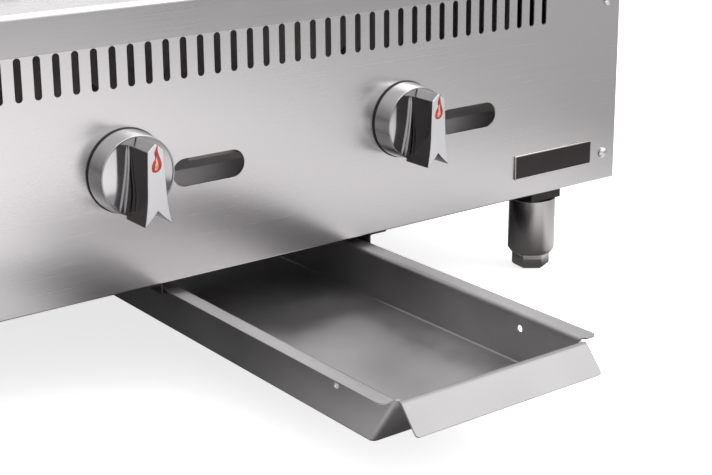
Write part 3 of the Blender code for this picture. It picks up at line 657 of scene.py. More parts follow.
def front_ledge():
    """The rounded rail: deck, quarter-circle bend and face, one profile in Y and Z carried across."""
    s = bpy.context.scene.charbroiler_sizes
    f = all_finishes()
    a, b = low("front_ledge"), high("front_ledge")
    corners = [(b[1], b[2]), (a[1], b[2]), (a[1], a[2])]
    profile = rounded(corners, [0.001, s.ledge_bend, 0.001], 9, closed=False)
    face = 7  # where on the profile the face begins, past most of the bend
    across = np.linspace(-HALF, HALF, 3)
    # The face takes the darker copy of the stainless, painted shade; the deck and most of the bend keep the
    # full colour.
    parts = [carried(profile[:face + 1], 0, across, flip=True, finish=1),
             carried(profile[face:], 0, across, flip=True)]
    piece("ledge_skin", parts, [f["stainless_ledge"], f["stainless"]], nodes=["front_ledge"],
          inside=(0, FRONT + 0.05, 0.15), wall=SHEET, bevel=0.0003)


def side_panels():
    """Each side skin is a sheet between the foot line and a top line that rises to the splash guard.

    z = foot + share (top(y) - foot), with top(y) a chain of straight slopes whose corners are rounded.
    """
    f = all_finishes()
    rows = 12
    for name, sign in SIDES:
        a, b = low(f"side_panel_{name}"), high(f"side_panel_{name}")
        corners = [(a[1], SKIN_TOP), (FRONT + 0.0780, SKIN_TOP), (FRONT + 0.0785, 0.249),
                   (FRONT + 0.1100, 0.275), (b[1] - 0.110, b[2]), (b[1], b[2])]
        line = rounded(corners, [0.001, 0.0001, 0.002, 0.012, 0.020, 0.001], 8, closed=False)
        share = np.linspace(0, 1, rows)[:, None]
        y = np.broadcast_to(line[:, 0], (rows, len(line)))
        z = a[2] + share * (line[:, 1] - a[2])
        x = np.full_like(z, sign * HALF)
        piece(f"side_skin_{name}", [patch(np.stack([x, y, z], -1), flip=sign < 0)], [f["stainless_side"]],
              nodes=[f"side_panel_{name}"], inside=(0, 0, 0.15), wall=SHEET,
              bevel=0.0002)


def trim_ends():
    """The turned-down front ends of the side trims, rounded bars carried from the liner to the side panel."""
    f = all_finishes()
    foot = 0.2448  # above the ledge's deck, by a hair
    for name, _ in SIDES:
        a, b = low(f"side_trim_{name}"), high(f"side_trim_{name}")
        front, rear = a[1], a[1] + SHEET
        outline = rounded([(front, foot), (rear, foot), (rear, b[2]), (front, b[2])],
                          [0.0003, 0.0003, 0.0003, 0.0010], 4)
        piece(f"trim_end_{name}", [bar(outline, 0, a[0], b[0], chamfer=0.0002)], [f["stainless"]])


def slot_strip():
    """The folded strip along the upper edge inside the left lighting slot, a rounded bar carried across."""
    x = middle("knob_left")[0]
    front, rear = FRONT + 0.0035, FRONT + 0.0049
    foot, top = 0.1438, 0.1530
    outline = rounded([(front, foot), (rear, foot), (rear, top), (front, top)], 0.0004, 3)
    piece("slot_strip_left", [bar(outline, 0, x + 0.0440, x + 0.0840, chamfer=0.0003)],
          [all_finishes()["strip"]])


def back_splash():
    """The back splash with rounded folds, one profile in Y and Z carried across the width."""
    a, b = low("back_splash"), high("back_splash")
    corners = [(b[1], a[2]), (b[1], b[2]), (a[1], b[2]), (a[1], a[2])]
    profile = rounded(corners, [0.001, 0.0025, 0.0025, 0.001], 6, closed=False)
    piece("splash_skin", [carried(profile, 0, np.linspace(a[0], b[0], 3))], [all_finishes()["stainless"]],
          nodes=["back_splash"], inside=(0, b[1] - 0.015, 0.3), wall=SHEET,
          bevel=0.0003)


# ---- knobs ---------------------------------------------------------------------------------------
def grip_points(x, z, y, across, up):
    """The front of a grip on a grid: across runs -1 to 1, up runs 0 to 1.

    The foot is a swallow tail and the top a gable, both straight lines in |across|. Between them the half
    width is 5.1 mm at the shoulders and 6.0 mm at the waist. It flares by a power law to 8.7 mm at the tails.
    """
    u, v = np.meshgrid(across, up)
    tail, notch = -0.0248, 0.0086
    shoulder, gable = 0.0188, 0.0044
    waist = -0.0020
    bottom = tail + notch * (1 - np.abs(u))
    peak = shoulder + gable * (1 - np.abs(u))
    height = bottom + v * (peak - bottom)
    below = np.clip((waist - height) / (waist - tail), 0, 1)
    above = np.clip((height - waist) / (shoulder - waist), 0, 1)
    width = 0.0060 + 0.0027 * below**1.8 - 0.0009 * above
    return np.stack([x + u * width, np.full_like(u, y), z + height], -1)


def knob_dome(radius):
    """How far the crowned face stands out from the panel: foot + crown (1 - (r / R)^2)."""
    return CROWN_FOOT + CROWN * (1 - (radius / CROWN_RADIUS) ** 2)


def knob_drum(name, x, z):
    """The drum: a side turned from a rounded profile, and a crowned mirror face inside a thin rim."""
    s = bpy.context.scene.charbroiler_sizes
    f = all_finishes()
    rim = s.knob_face - 0.0010
    corners = [(0.0, KNOB_FOOT), (s.knob_base, KNOB_FOOT), (s.knob_face, KNOB_FACE), (rim, KNOB_FACE),
               (rim, KNOB_FACE - 0.0006)]
    side = rounded(corners, [0.0001, 0.0004, 0.0005, 0.0003, 0.0001], 4, closed=False)
    share = np.linspace(1, 0, 16)
    disc = np.stack([rim * share, knob_dome(rim * share)], 1)
    # The side and the face take darker copies of the knobs' chrome, painted reflection.
    parts = [turned(side, 128, (x, FRONT, z)), turned(disc, 128, (x, FRONT, z), finish=1)]
    piece(f"knob_drum_{name}", parts, [f["drum"], f["mirror"]], f"knob_{name}",
          nodes=[f"knob_{name}"])


def knob_grip(name, x, z):
    """The pointer grip: its front outline carried back to the drum. The front has its own satin finish; the
    sides take the chrome painted near black and the gable the chrome painted mid grey, both painted reflection.
    """
    f = all_finishes()
    across, up = np.linspace(-1, 1, 13), np.linspace(0, 1, 25)
    y_front, y_back = FRONT - GRIP_FACE, FRONT - KNOB_FACE + 0.0015
    lid = grip_points(x, z, y_front, across, up)
    base = grip_points(x, z, y_back, across, up)
    loop = np.concatenate([lid[0, :-1], lid[:-1, -1], lid[-1, :0:-1], lid[:0:-1, 0]])
    deep = np.array([0.0, 0.34, 0.67, 1.0])[:, None, None]
    wall = loop[None] + deep * np.array([0, y_back - y_front, 0.0])
    bounds = np.cumsum([0, len(across) - 1, len(up) - 1, len(across) - 1, len(up) - 1])
    sides = [patch(np.roll(wall, -bounds[k], axis=1)[:, :bounds[k + 1] - bounds[k] + 1], finish=finish)
             for k, finish in enumerate((0, 0, 2, 0))]
    piece(f"knob_grip_{name}", [patch(lid, finish=1), *sides, patch(base, flip=True)],
          [f["smoked"], f["silver"], f["gable"]], f"knob_{name}", bevel=0.0005,
          steps=3)


def knob_ribs(name, x, z):
    """Two thin ribs on each side of the grip: tubes that taper at their ends and lie on the crowned face.

    Each runs from its top to its foot by x = top + (foot - top) t^1.3, z straight in t, y on the crown.
    """
    steps, sides = 24, 10
    t = np.linspace(0, 1, steps)
    a = np.linspace(0, TURN, sides, endpoint=False)
    radius = 0.00070 * np.minimum(1, 8 * np.minimum(t, 1 - t) + 0.15)
    for number, (inset, lift) in enumerate(((0.0011, 0.0004), (0.0040, 0.0002))):
        for letter, sign in (("l", -1), ("r", 1)):
            top_x, top_z = 0.0049 + inset * 0.45, 0.0192 - inset * 0.2
            low_x, low_z = 0.0088 + inset, -0.0212 + inset * 0.35
            path_x = sign * (top_x + (low_x - top_x) * t**1.3)
            path_z = top_z + (low_z - top_z) * t
            rise = knob_dome(np.hypot(path_x, path_z)) + lift
            ring = np.stack([
                x + path_x[:, None] + radius[:, None] * np.cos(a),
                FRONT - rise[:, None] + radius[:, None] * np.sin(a),
                np.broadcast_to(z + path_z[:, None], (steps, sides)),
            ], -1)
            first, last = (ring[[k]].mean(1, keepdims=True).repeat(sides, 1) for k in (0, -1))
            tube = patch(np.concatenate([first, ring, last]), wrap=True)
            piece(f"knob_rib_{name}_{number}{letter}", [tube], [all_finishes()["silver"]], f"knob_{name}")


def flame(name, x, z):
    """A flame mark between a left and a right outline, each a function of the height t from foot 0 to tip 1.

    The middle line leans right and sways by a sine. The half width swells by a sine near the foot and tapers
    to the tip, and the left outline is pinched in above its lobe by a bell curve.
    """
    f = all_finishes()
    y = FRONT - GRIP_FACE
    t = np.linspace(0, 1, 48)[:, None]
    u = np.linspace(-1, 1, 9)[None, :]
    for mark, foot, height, size, lift, finish in (("outer", 0.0066, 0.0160, 1.0, 0.00016, "flame"),
                                                  ("core", 0.0078, 0.0088, 0.46, 0.00028, "flame_core")):
        centre = (-0.0006 + 0.0020 * t + 0.0005 * np.sin(TURN * t)) * size**0.5
        half = 0.0037 * size * np.maximum(np.sin(np.pi * t**0.58) ** 0.75 * (1 - 0.62 * t), 0.02)
        pinch = 0.0013 * size * np.exp(-(((t - 0.52) / 0.12) ** 2)) * (u < 0) * -u
        rise = lift * np.sqrt(np.clip(1 - u**4, 0, 1))
        px = x + centre + u * half + pinch
        pz = z + foot + height * t + 0 * u
        top = np.stack(np.broadcast_arrays(px, y - rise, pz), -1)
        under = np.stack([px, np.full_like(px, y + 0.0001), pz], -1)
        rims = [np.concatenate([k[0], k[1:-1, -1], k[-1, ::-1], k[-2:0:-1, 0]]) for k in (top, under)]
        parts = [patch(top), patch(under, flip=True), patch(np.stack(rims), wrap=True)]
        piece(f"flame_{mark}_{name}", parts, [f[finish]], f"knob_{name}")


def knobs():
    """Both knobs, each about its valve stem: drum, grip, ribs and flame mark."""
    for name, _ in SIDES:
        x, _, z = middle(f"valve_stem_{name}")
        knob_drum(name, x, z)
        knob_grip(name, x, z)
        knob_ribs(name, x, z)
        flame(name, x, z)


def knob_seals():
    """The dark seal behind each knob: a ring with a rounded lip."""
    corners = [(SEAL_BORE, SEAL_BACK), (SEAL_RADIUS, SEAL_BACK), (SEAL_RADIUS, SEAL_FRONT),
               (SEAL_BORE, SEAL_FRONT)]
    profile = rounded(corners, [0.0001, 0.0002, 0.0004, 0.0001], 4)
    profile = np.concatenate([profile, profile[:1]])
    for name, _ in SIDES:
        x, _, z = middle(f"valve_stem_{name}")
        piece(f"knob_seal_{name}", [turned(profile, 96, (x, FRONT, z))], [all_finishes()["gasket"]],
              nodes=[f"knob_gasket_{name}"])


# ---- small fittings on the panel -----------------------------------------------------------------
def nameplate():
    """A blank plate: a dark field inside a thin raised border, both rounded rectangles drawn in by steps."""
    f = all_finishes()
    a, b = low("nameplate"), high("nameplate")
    centre = (a + b) / 2
    wide, tall = (b[0] - a[0]) / 2, (b[2] - a[2]) / 2
    front, back, edge = a[1], b[1], 0.00085

    def outline(inset, y):
        w, t = wide - inset, tall - inset
        flat = rounded([(-w, -t), (w, -t), (w, t), (-w, t)], max(0.0012 - inset, 0.0003), 4)
        return np.stack([centre[0] + flat[:, 0], np.full(len(flat), y), centre[2] + flat[:, 1]], -1)

    steps = [(0, back), (0, front + 0.0003), (0.00015, front), (0.0007, front), (edge, front + 0.0002)]
    border = np.stack([outline(inset, y) for inset, y in steps])
    field = np.stack([outline(inset, front + 0.0002) for inset in (edge, 0.0020, tall * 0.9)])
    inner = np.broadcast_to(field[-1].mean(0), field[-1].shape)[None]
    hub = np.broadcast_to(np.array([centre[0], back, centre[2]]), border[0].shape)
    parts = [patch(border, wrap=True, finish=1), patch(np.concatenate([field, inner]), wrap=True),
             patch(np.stack([hub, border[0]]), wrap=True)]
    piece("nameplate_blank", parts, [f["plate"], f["border"]], nodes=["nameplate"])


def screws():
    """Dome-headed screws on thin washers, turned from one profile: reach = foot + rise (1 - (r / R)^2.2)."""
    r = np.linspace(1, 0, 12)
    dome = np.stack([0.0037 * r, 0.0009 + 0.0013 * (1 - r**2.2)], 1)
    washer = [(0.0, 0.0003), (0.0041, 0.0003), (0.0041, 0.0006), (0.0040, 0.0007), (0.0037, 0.0007)]
    profile = np.concatenate([washer, dome])
    for level in ("lower", "upper"):
        for name, _ in SIDES:
            node = f"panel_screw_{level}_{name}"
            x, _, z = middle(node)
            piece(node + "_head", [turned(profile, 40, (x, FRONT, z))], [all_finishes()["chrome"]],
                  nodes=[node])


# ---- crumb tray ----------------------------------------------------------------------------------
def tray():
    """The crumb tray as one pressed sheet.

    The tub is a stack of rounded rectangles: the floor's shrink to its middle, then a quarter-circle bend,
    then the walls. The front edge moves out with height, y = foot - lean (z - floor). Lips and handle are
    bent strips.
    """
    s = bpy.context.scene.charbroiler_sizes
    f = all_finishes()
    cx = middle("crumb_tray")[0]
    half, lip_reach = TRAY_HALF, TRAY_LIP
    floor, top = low("crumb_tray")[2], high("crumb_tray")[2]
    foot, crest = FRONT - TRAY_FOOT, FRONT - TRAY_CREST
    rear = high("crumb_tray")[1]
    lean = (foot - crest) / (top - floor)
    bend, corner = s.tray_bend, s.tray_corner
    under = top - SHEET
    arm = 0.0016  # radius of the bend from the wall into the lip
    wall_top = under - arm
    hole_reach, hole_z, hole_r = TRAY_HOLE
    hole_y = FRONT - hole_reach
    levels = np.array([-0.0045, -0.003, -0.0015, 0, 0.0015, 0.003, 0.0045])  # round each hole
    cell_reach = levels[-1]
    along = np.linspace(FRONT - 0.14, rear - corner, 8)
    ys = np.unique(np.round(np.concatenate([[rear - corner], hole_y + levels, along]), 7))[::-1]
    xs = np.unique(np.round(np.linspace(-half + corner, half - corner, 12), 7))
    arc = np.linspace(0, np.pi / 2, 9)[1:-1]

    def loop(inset, z, lift=0.0):
        """One rounded rectangle, from the rear left corner forwards, round the front and back again."""
        y_front = foot - lean * (z - floor) + inset
        w, r = half - inset, corner - inset
        left = np.stack([np.full(len(ys) + 1, -w), np.append(ys, y_front + r)], 1)
        turn_1 = np.stack([-w + r - r * np.cos(arc), y_front + r - r * np.sin(arc)], 1)
        front = np.stack([xs, np.full(len(xs), y_front)], 1)
        front[[0, -1], 0] = -w + r, w - r
        turn_2 = np.stack([w - r + r * np.sin(arc), y_front + r - r * np.cos(arc)], 1)
        right = np.stack([np.full(len(ys) + 1, w), np.append(ys, y_front + r)[::-1]], 1)
        back_1 = np.stack([w - r + r * np.cos(arc), rear - inset - r + r * np.sin(arc)], 1)
        back = np.stack([xs[::-1], np.full(len(xs), rear - inset)], 1)
        back[[0, -1], 0] = w - r, -w + r
        back_2 = np.stack([-w + r - r * np.sin(arc), rear - inset - r + r * np.cos(arc)], 1)
        flat = np.concatenate([left, turn_1, front, turn_2, right, back_1, back, back_2])
        corners = np.sin(2 * arc) ** 0.5 * lift
        still = [np.zeros(len(k)) for k in (left, front, right, back)]
        climb = np.concatenate([still[0], corners, still[1], corners, still[2], corners, still[3], corners])
        return np.column_stack([cx + flat[:, 0], flat[:, 1], z + climb])

    a = np.linspace(0, np.pi / 2, 7)
    bent = [loop(bend * (1 - np.sin(k)), floor + bend * (1 - np.cos(k))) for k in a]
    zs = np.array([floor + bend, *(hole_z + levels), wall_top])
    walls = [loop(0.0, z) for z in zs[1:-1]] + [loop(0.0, wall_top, 0.0014)]
    base = bent[0]
    centre = np.array([cx, (foot + rear) / 2, floor])
    floor_rows = [centre + (base - centre) * np.array([k, k, 1]) for k in (0.0, 0.5, 0.9, 0.985)]
    rows = np.array(floor_rows + bent + walls)
    points, quads, _ = patch(rows, wrap=True)
    mid = points[quads].mean(1)
    at_hole = (np.abs(mid[:, 1] - hole_y) < cell_reach) & (np.abs(mid[:, 2] - hole_z) < cell_reach)
    at_hole &= np.abs(np.abs(mid[:, 0] - cx) - half) < 1e-4
    parts = [(points, quads[~at_hole][:, ::-1], 0)]
    cell_y = np.sort(ys[np.abs(ys - hole_y) < cell_reach + 0.0001])
    cell_z = zs[np.abs(zs - hole_z) < cell_reach + 0.0001]
    cell = (cell_y[0], cell_z[0]), (cell_y[-1], cell_z[-1])
    ring = plate(cell_y, cell_z, [(cell, ((hole_y, hole_z), (hole_y, hole_z)), hole_r)])[1:]
    for sign in (-1, 1):
        parts += stood(ring, lambda u, v, k=sign: np.stack([np.full(len(u), cx + k * half), u, v], 1),
                       flip=sign < 0)
    # Lips: the wall turns outwards through a quarter circle, then runs flat. Their front corners are rounded.
    b = np.linspace(0, np.pi / 2, 6)
    round_off = 0.0040
    for sign in (-1, 1):
        past_bend = lip_reach - round_off * (1 - np.sin(np.linspace(0, np.pi / 2, 8)))
        out = np.append(arm * (1 - np.cos(b)), past_bend)
        rise = np.append(wall_top + arm * np.sin(b), np.full(8, under))
        start = foot - lean * (wall_top - floor) + corner
        y_line = np.append(ys, start)
        tip = np.minimum(out / arm, 1) * (corner - 0.0004)
        past = np.clip((out - (lip_reach - round_off)) / round_off, 0, 1)
        ends = (start - tip + round_off * (1 - np.sqrt(1 - past**2)))[:, None]
        y_grid = np.broadcast_to(y_line, (len(out), len(y_line))).copy()
        y_grid[:, -1:] = ends
        x_grid = np.broadcast_to((cx + sign * (half + out))[:, None], y_grid.shape)
        z_grid = np.broadcast_to(rise[:, None], y_grid.shape)
        parts.append(patch(np.stack([x_grid, y_grid, z_grid], -1), flip=sign > 0))
    # Handle: the front wall turns over through its top bend and runs down at a slope to rounded corners.
    lean_angle = np.arctan(lean)
    slope = np.array([FRONT - HANDLE_REACH - (crest + 0.0004), HANDLE_LOW - top])
    roll = 0.0019  # radius of the handle's top bend
    y_wall = foot - lean * (wall_top - floor)
    turn = np.linspace(0, 1, 9)
    first = np.array([-np.sin(lean_angle), np.cos(lean_angle)])
    last = slope / np.linalg.norm(slope)
    sweep = np.arccos(np.clip(first @ last, -1, 1))
    k = turn * sweep
    direction = np.stack([first[0] * np.cos(k) - first[1] * np.sin(k),
                          first[0] * np.sin(k) + first[1] * np.cos(k)], 1)
    step = roll * sweep / 8
    bendline = np.concatenate([[[0, 0]], np.cumsum((direction[:-1] + direction[1:]) / 2 * step, 0)])
    bendline += np.array([y_wall, wall_top])
    fall = (bendline[-1, 1] - HANDLE_LOW - 0.0002) / -last[1]
    radius = 0.0022  # of the handle's lower corners
    round_end = 1 - radius / fall * (1 - np.sin(np.linspace(0.2, np.pi / 2, 6)))
    shares = np.append(np.linspace(0.3, 0.85, 3), round_end)
    line = np.concatenate([bendline, bendline[-1] + last * shares[:, None] * fall])
    run = np.concatenate([np.zeros(9), shares * fall])
    over = np.clip(run - (fall - radius), 0, radius)
    narrow = radius - np.sqrt(np.clip(radius**2 - over**2, 0, None))
    grow = np.concatenate([np.clip(turn * 3, 0, 1), np.ones(9)])
    edge_l = -half + corner - (corner - 0.0006) * grow + narrow
    edge_r = half - corner + (corner - 0.0016) * grow - narrow
    share = (xs - xs[0]) / (xs[-1] - xs[0])
    x_grid = cx + edge_l[:, None] + (edge_r - edge_l)[:, None] * share[None, :]
    grid = np.stack(np.broadcast_arrays(x_grid, line[:, :1], line[:, 1:]), -1)
    # The handle takes the darker copy of the tray's sheet, painted shade.
    parts.append(patch(grid, flip=True, finish=1))
    piece("crumb_tray_sheet", parts, [f["tray"], f["handle"]], "crumb_tray", nodes=["crumb_tray"],
          inside=(cx, 0, top), wall=SHEET * 0.92, bevel=0.0003)


def rails():
    """The tray's hanging rails: a Z-shaped folded profile carried from front to rear."""
    f = all_finishes()
    for name, sign in SIDES:
        a, b = low(f"tray_rail_{name}"), high(f"tray_rail_{name}")
        outer, inner = (b[0], a[0]) if sign > 0 else (a[0], b[0])
        web = outer - sign * RAIL_FLANGE
        fold, upper = web - sign * SHEET, b[2] - SHEET
        corners = [(outer, upper), (fold, upper), (fold, a[2]), (inner, a[2])]
        profile = rounded(corners, [0.0001, 0.0008, 0.0012, 0.0001], 5, closed=False)
        parts = [carried(profile, 1, np.linspace(a[1], b[1], 3), flip=sign < 0)]
        piece(f"rail_sheet_{name}", parts, [f["dark"]], nodes=[f"tray_rail_{name}"],
              inside=(web, 0, 1.0), wall=SHEET, bevel=0.0002)


# ---- legs ----------------------------------------------------------------------------------------
def legs():
    """Turned legs on square blocks, over hexagonal adjusting feet.

    A foot is a stack of rounded hexagons, each a share of the full size at its own height.
    """
    f = all_finishes()
    r = LEG_RADIUS
    tube = rounded([(LEG_BORE, LEG_FOOT), (r - 0.0024, LEG_FOOT), (r, 0.0150), (r, LEG_TOP), (0.0, LEG_TOP)],
                   [0.0001, 0.0006, 0.0012, 0.0007, 0.0001], 5, closed=False)
    roof = LEG_FOOT + 0.0258
    tube = np.concatenate([[(0.0, roof), (LEG_BORE, roof)], tube])
    k = LEG_BLOCK
    square = rounded([(-k, -k), (k, -k), (k, k), (-k, k)], 0.0012, 4)
    corner = np.arange(6) * TURN / 6 + FOOT_TURN
    hexagon = rounded(np.stack([np.cos(corner), np.sin(corner)], 1) * FOOT_RADIUS, 0.0008, 4)
    steps = ((0.0, 0.0), (0.70, 0.0), (0.86, 0.0004), (0.97, 0.0016), (1.0, 0.0024), (1.0, 0.0105),
             (0.97, 0.0112), (0.5, 0.0114), (0.42, 0.0114), (0.42, STUD_TOP), (0.0, STUD_TOP))
    for end in ("front", "rear"):
        for name, _ in SIDES:
            node, foot = f"leg_{end}_{name}", f"foot_{end}_{name}"
            a, b = low(node), high(node)
            x, y = (a[0] + b[0]) / 2, (a[1] + b[1]) / 2
            piece(f"leg_tube_{end}_{name}", [upright(tube, 96, (x, y))], [f["leg"]], nodes=[node])
            block = bar(square + np.array([x, y]), 2, LEG_TOP + SEAM, b[2], chamfer=0.0003)
            piece(f"leg_block_{end}_{name}", [block], [f["block"]])
            rows = [np.column_stack([x + hexagon[:, 0] * share, y + hexagon[:, 1] * share,
                                     np.full(len(hexagon), z)]) for share, z in steps]
            piece(f"foot_hex_{end}_{name}", [patch(np.array(rows), wrap=True)], [f["leg"]], foot,
                  nodes=[foot])


# ---- grates --------------------------------------------------------------------------------------
def grates():
    """Cast grates: tapered bars with rounded crowns carried from front to back, tied by lower cross ribs."""
    f = all_finishes()
    count, edge = 7, 0.009  # bars on each grate, width of its outer bars
    inner, outer = (0.0040, 0.0028), (0.0045, 0.0036)  # half widths of a bar at its crown and its foot
    rib_top, rib_foot = 0.0035, 0.0045  # half widths of a cross rib
    for number in range(1, 5):
        node = f"grate_{number}"
        a, b = low(node), high(node)
        parts = []
        for k, x in enumerate(np.linspace(a[0] + edge / 2, b[0] - edge / 2, count)):
            crown, foot = inner if 0 < k < count - 1 else outer
            outline = rounded([(x - foot, a[2]), (x + foot, a[2]), (x + crown, b[2]), (x - crown, b[2])],
                              [0.0006, 0.0006, 0.0018, 0.0018], 4)
            parts.append(bar(outline, 1, a[1], b[1], chamfer=0.001))
        bottom, top = a[2] + 0.0005, b[2] - 0.0015
        thirds = a[1] + (b[1] - a[1]) * np.array([1 / 3, 2 / 3])
        for y in (a[1] + 0.006, *thirds, b[1] - 0.006):
            outline = rounded([(y - rib_foot, bottom), (y + rib_foot, bottom), (y + rib_top, top),
                               (y - rib_top, top)], 0.0012, 3)
            parts.append(bar(outline, 0, a[0] + 0.003, b[0] - 0.003, chamfer=0.0005))
        piece(f"grate_cast_{number}", parts, [f["iron"]], node, nodes=[node])


def solids():
    """Gives every CAD node that stays in sight its finish."""
    f = all_finishes()
    by_slot = {"brushed_stainless": "stainless", "polished_chrome": "chrome", "grey_steel_sheet": "sheet",
               "leg_steel": "leg", "dark_steel": "dark", "cast_iron": "iron", "burner_steel": "burner",
               "brass": "brass", "black_gasket": "gasket", "nameplate_dark": "plate"}
    for part in frame["record"]["subparts"]:
        solid = frame["nodes"][part["node"]]
        # The gas manifold takes the pale finish, painted light.
        finish = "galvanised" if part["node"] == "gas_manifold" else by_slot[part["material_slot"]]
        for slot in solid.material_slots:
            slot.material = f[finish]


# ---- stage ---------------------------------------------------------------------------------------
def ramp(nodes, links, value, start, end, stops):
    """A smooth chain of brightnesses over a stretch of a value, in stops (share of it, brightness)."""
    spread = nodes.new("ShaderNodeMapRange")
    spread.inputs["From Min"].default_value = start
    spread.inputs["From Max"].default_value = end
    links.new(value, spread.inputs["Value"])
    chain = nodes.new("ShaderNodeValToRGB")
    chain.color_ramp.interpolation = "EASE"
    links.new(spread.outputs["Result"], chain.inputs["Fac"])
    marks = chain.color_ramp.elements
    for share, _ in stops[2:]:
        marks.new(share)
    for mark, (share, level) in zip(marks, sorted(stops), strict=True):
        mark.position = share
        mark.color = (level, level, level, 1)
    return chain.outputs["Color"]


def combined(nodes, links, operation, one, two):
    """A math node of two values."""
    node = nodes.new("ShaderNodeMath")
    node.operation = operation
    links.new(one, node.inputs[0])
    links.new(two, node.inputs[1])
    return node.outputs[0]


def by_camera(nodes, links, others, seen, out):
    """Shows one shader to the camera and another one to every other ray."""
    path = nodes.new("ShaderNodeLightPath")
    choice = nodes.new("ShaderNodeMixShader")
    links.new(path.outputs["Is Camera Ray"], choice.inputs["Fac"])
    links.new(others.outputs[0], choice.inputs[1])
    links.new(seen.outputs[0], choice.inputs[2])
    links.new(choice.outputs[0], out.inputs["Surface"])


def floor_pattern(nodes, links):
    """How bright the floor glows to reflections: bright before and behind the unit, with painted shade under it
    and under the tray.
    """
    where = nodes.new("ShaderNodeTexCoord")
    split = nodes.new("ShaderNodeSeparateXYZ")
    links.new(where.outputs["Object"], split.inputs[0])
    x, y = split.outputs["X"], split.outputs["Y"]
    across = ramp(nodes, links, x, -1.0, 1.0,
                        ((0.30, 0.40), (0.37, 0.46), (0.45, 1.25), (0.60, 0.98), (0.86, 0.42)))
    beside = ramp(nodes, links, x, 0.25, 0.33, ((0.0, 0.0), (1.0, 1.0)))
    ahead = ramp(nodes, links, y, -0.85, -0.05,
                       ((0.0, 1.12), (1.0, 0.03), (0.40, 0.92), (0.54, 0.84), (0.77, 0.12)))
    beside_tray = ramp(nodes, links, x, -0.12, 0.16, ((0.0, 1.0), (1.0, 1.0), (0.20, 0.06), (0.80, 0.06)))
    before_tray = ramp(nodes, links, y, -0.495, -0.450, ((0.0, 1.0), (1.0, 0.0)))
    behind = ramp(nodes, links, y, 0.50, 0.90, ((0.0, 0.0), (1.0, 0.75)))
    clear = combined(nodes, links, "MAXIMUM", beside, ahead)
    lit = combined(nodes, links, "MULTIPLY", across, clear)
    open_floor = combined(nodes, links, "MAXIMUM", beside_tray, before_tray)
    shaded = combined(nodes, links, "MULTIPLY", lit, open_floor)
    return combined(nodes, links, "MAXIMUM", shaded, behind)


def floor():
    """A wide pale floor. The camera sees it evenly lit, and reflections see its pattern of brightness."""
    stage = bpy.context.scene.charbroiler_stage
    a = np.linspace(-6.0, 6.0, 9)
    x, y = np.meshgrid(a, a)
    mesh = fill_mesh("floor", [patch(np.stack([x, y, np.full_like(x, -0.0002)], -1))], (0, 0, -1))
    ground = bpy.data.objects.new("floor", mesh)
    bpy.context.scene.collection.objects.link(ground)
    mat = bpy.data.materials.new("stage_floor")
    mat.use_nodes = True
    nodes, links = mat.node_tree.nodes, mat.node_tree.links
    nodes.clear()
    out = nodes.new("ShaderNodeOutputMaterial")
    glow = nodes.new("ShaderNodeEmission")
    glow.inputs["Color"].default_value = (*stage.floor, 1)
    glow.inputs["Strength"].default_value = 0.80
    matte = nodes.new("ShaderNodeBsdfDiffuse")
    matte.inputs["Color"].default_value = (*stage.floor, 1)
    seen = nodes.new("ShaderNodeAddShader")
    links.new(glow.outputs[0], seen.inputs[0])
    links.new(matte.outputs[0], seen.inputs[1])
    others = nodes.new("ShaderNodeEmission")
    others.inputs["Color"].default_value = (1, 0.985, 0.99, 1)
    links.new(floor_pattern(nodes, links), others.inputs["Strength"])
    by_camera(nodes, links, others, seen, out)
    mesh.materials.append(mat)


def dome():
    """White to the camera, and to other rays a sky that dims below and in one soft lobe at the front left."""
    stage = bpy.context.scene.charbroiler_stage
    world = bpy.data.worlds.new("studio")
    bpy.context.scene.world = world
    world.use_nodes = True
    nodes, links = world.node_tree.nodes, world.node_tree.links
    nodes.clear()
    out = nodes.new("ShaderNodeOutputWorld")
    seen = nodes.new("ShaderNodeBackground")
    seen.inputs["Color"].default_value = (1, 1, 1, 1)
    seen.inputs["Strength"].default_value = 1.05
    others = nodes.new("ShaderNodeBackground")
    others.inputs["Color"].default_value = (1, 1, 1, 1)
    where = nodes.new("ShaderNodeTexCoord")
    lean = nodes.new("ShaderNodeVectorMath")
    lean.operation = "DOT_PRODUCT"
    lean.inputs[1].default_value = Vector((-0.75, -0.60, -0.25)).normalized()
    links.new(where.outputs["Generated"], lean.inputs[0])
    lobe = ramp(nodes, links, lean.outputs["Value"], 0.45, 0.95, ((0.0, 1.0), (1.0, 0.45)))
    split = nodes.new("ShaderNodeSeparateXYZ")
    links.new(where.outputs["Generated"], split.inputs[0])
    rise = ramp(nodes, links, split.outputs["Z"], -0.20, 0.80,
                      ((0.0, 0.45), (0.22, 0.50), (0.40, 0.95), (1.0, 1.05)))
    scale = nodes.new("ShaderNodeMath")
    scale.operation = "MULTIPLY"
    scale.inputs[1].default_value = stage.sky
    links.new(combined(nodes, links, "MULTIPLY", lobe, rise), scale.inputs[0])
    links.new(scale.outputs[0], others.inputs["Strength"])
    by_camera(nodes, links, others, seen, out)


def lamps():
    """A key light from the front right and a wide one from above, both aimed at the casing."""
    target = Vector((0, 0, 0.15))
    for name, place, size, power in (("key", (1.3, -1.5, 1.6), 1.4, 13.0),
                                     ("top", (0.0, -0.2, 2.0), 1.6, 13.0)):
        lamp = bpy.data.lights.new(name, "AREA")
        lamp.energy = power
        lamp.size = size
        holder = bpy.data.objects.new(name, lamp)
        holder.location = place
        holder.rotation_euler = (target - Vector(place)).to_track_quat("-Z", "Y").to_euler()
        bpy.context.scene.collection.objects.link(holder)
    bpy.context.scene.view_settings.view_transform = "Standard"


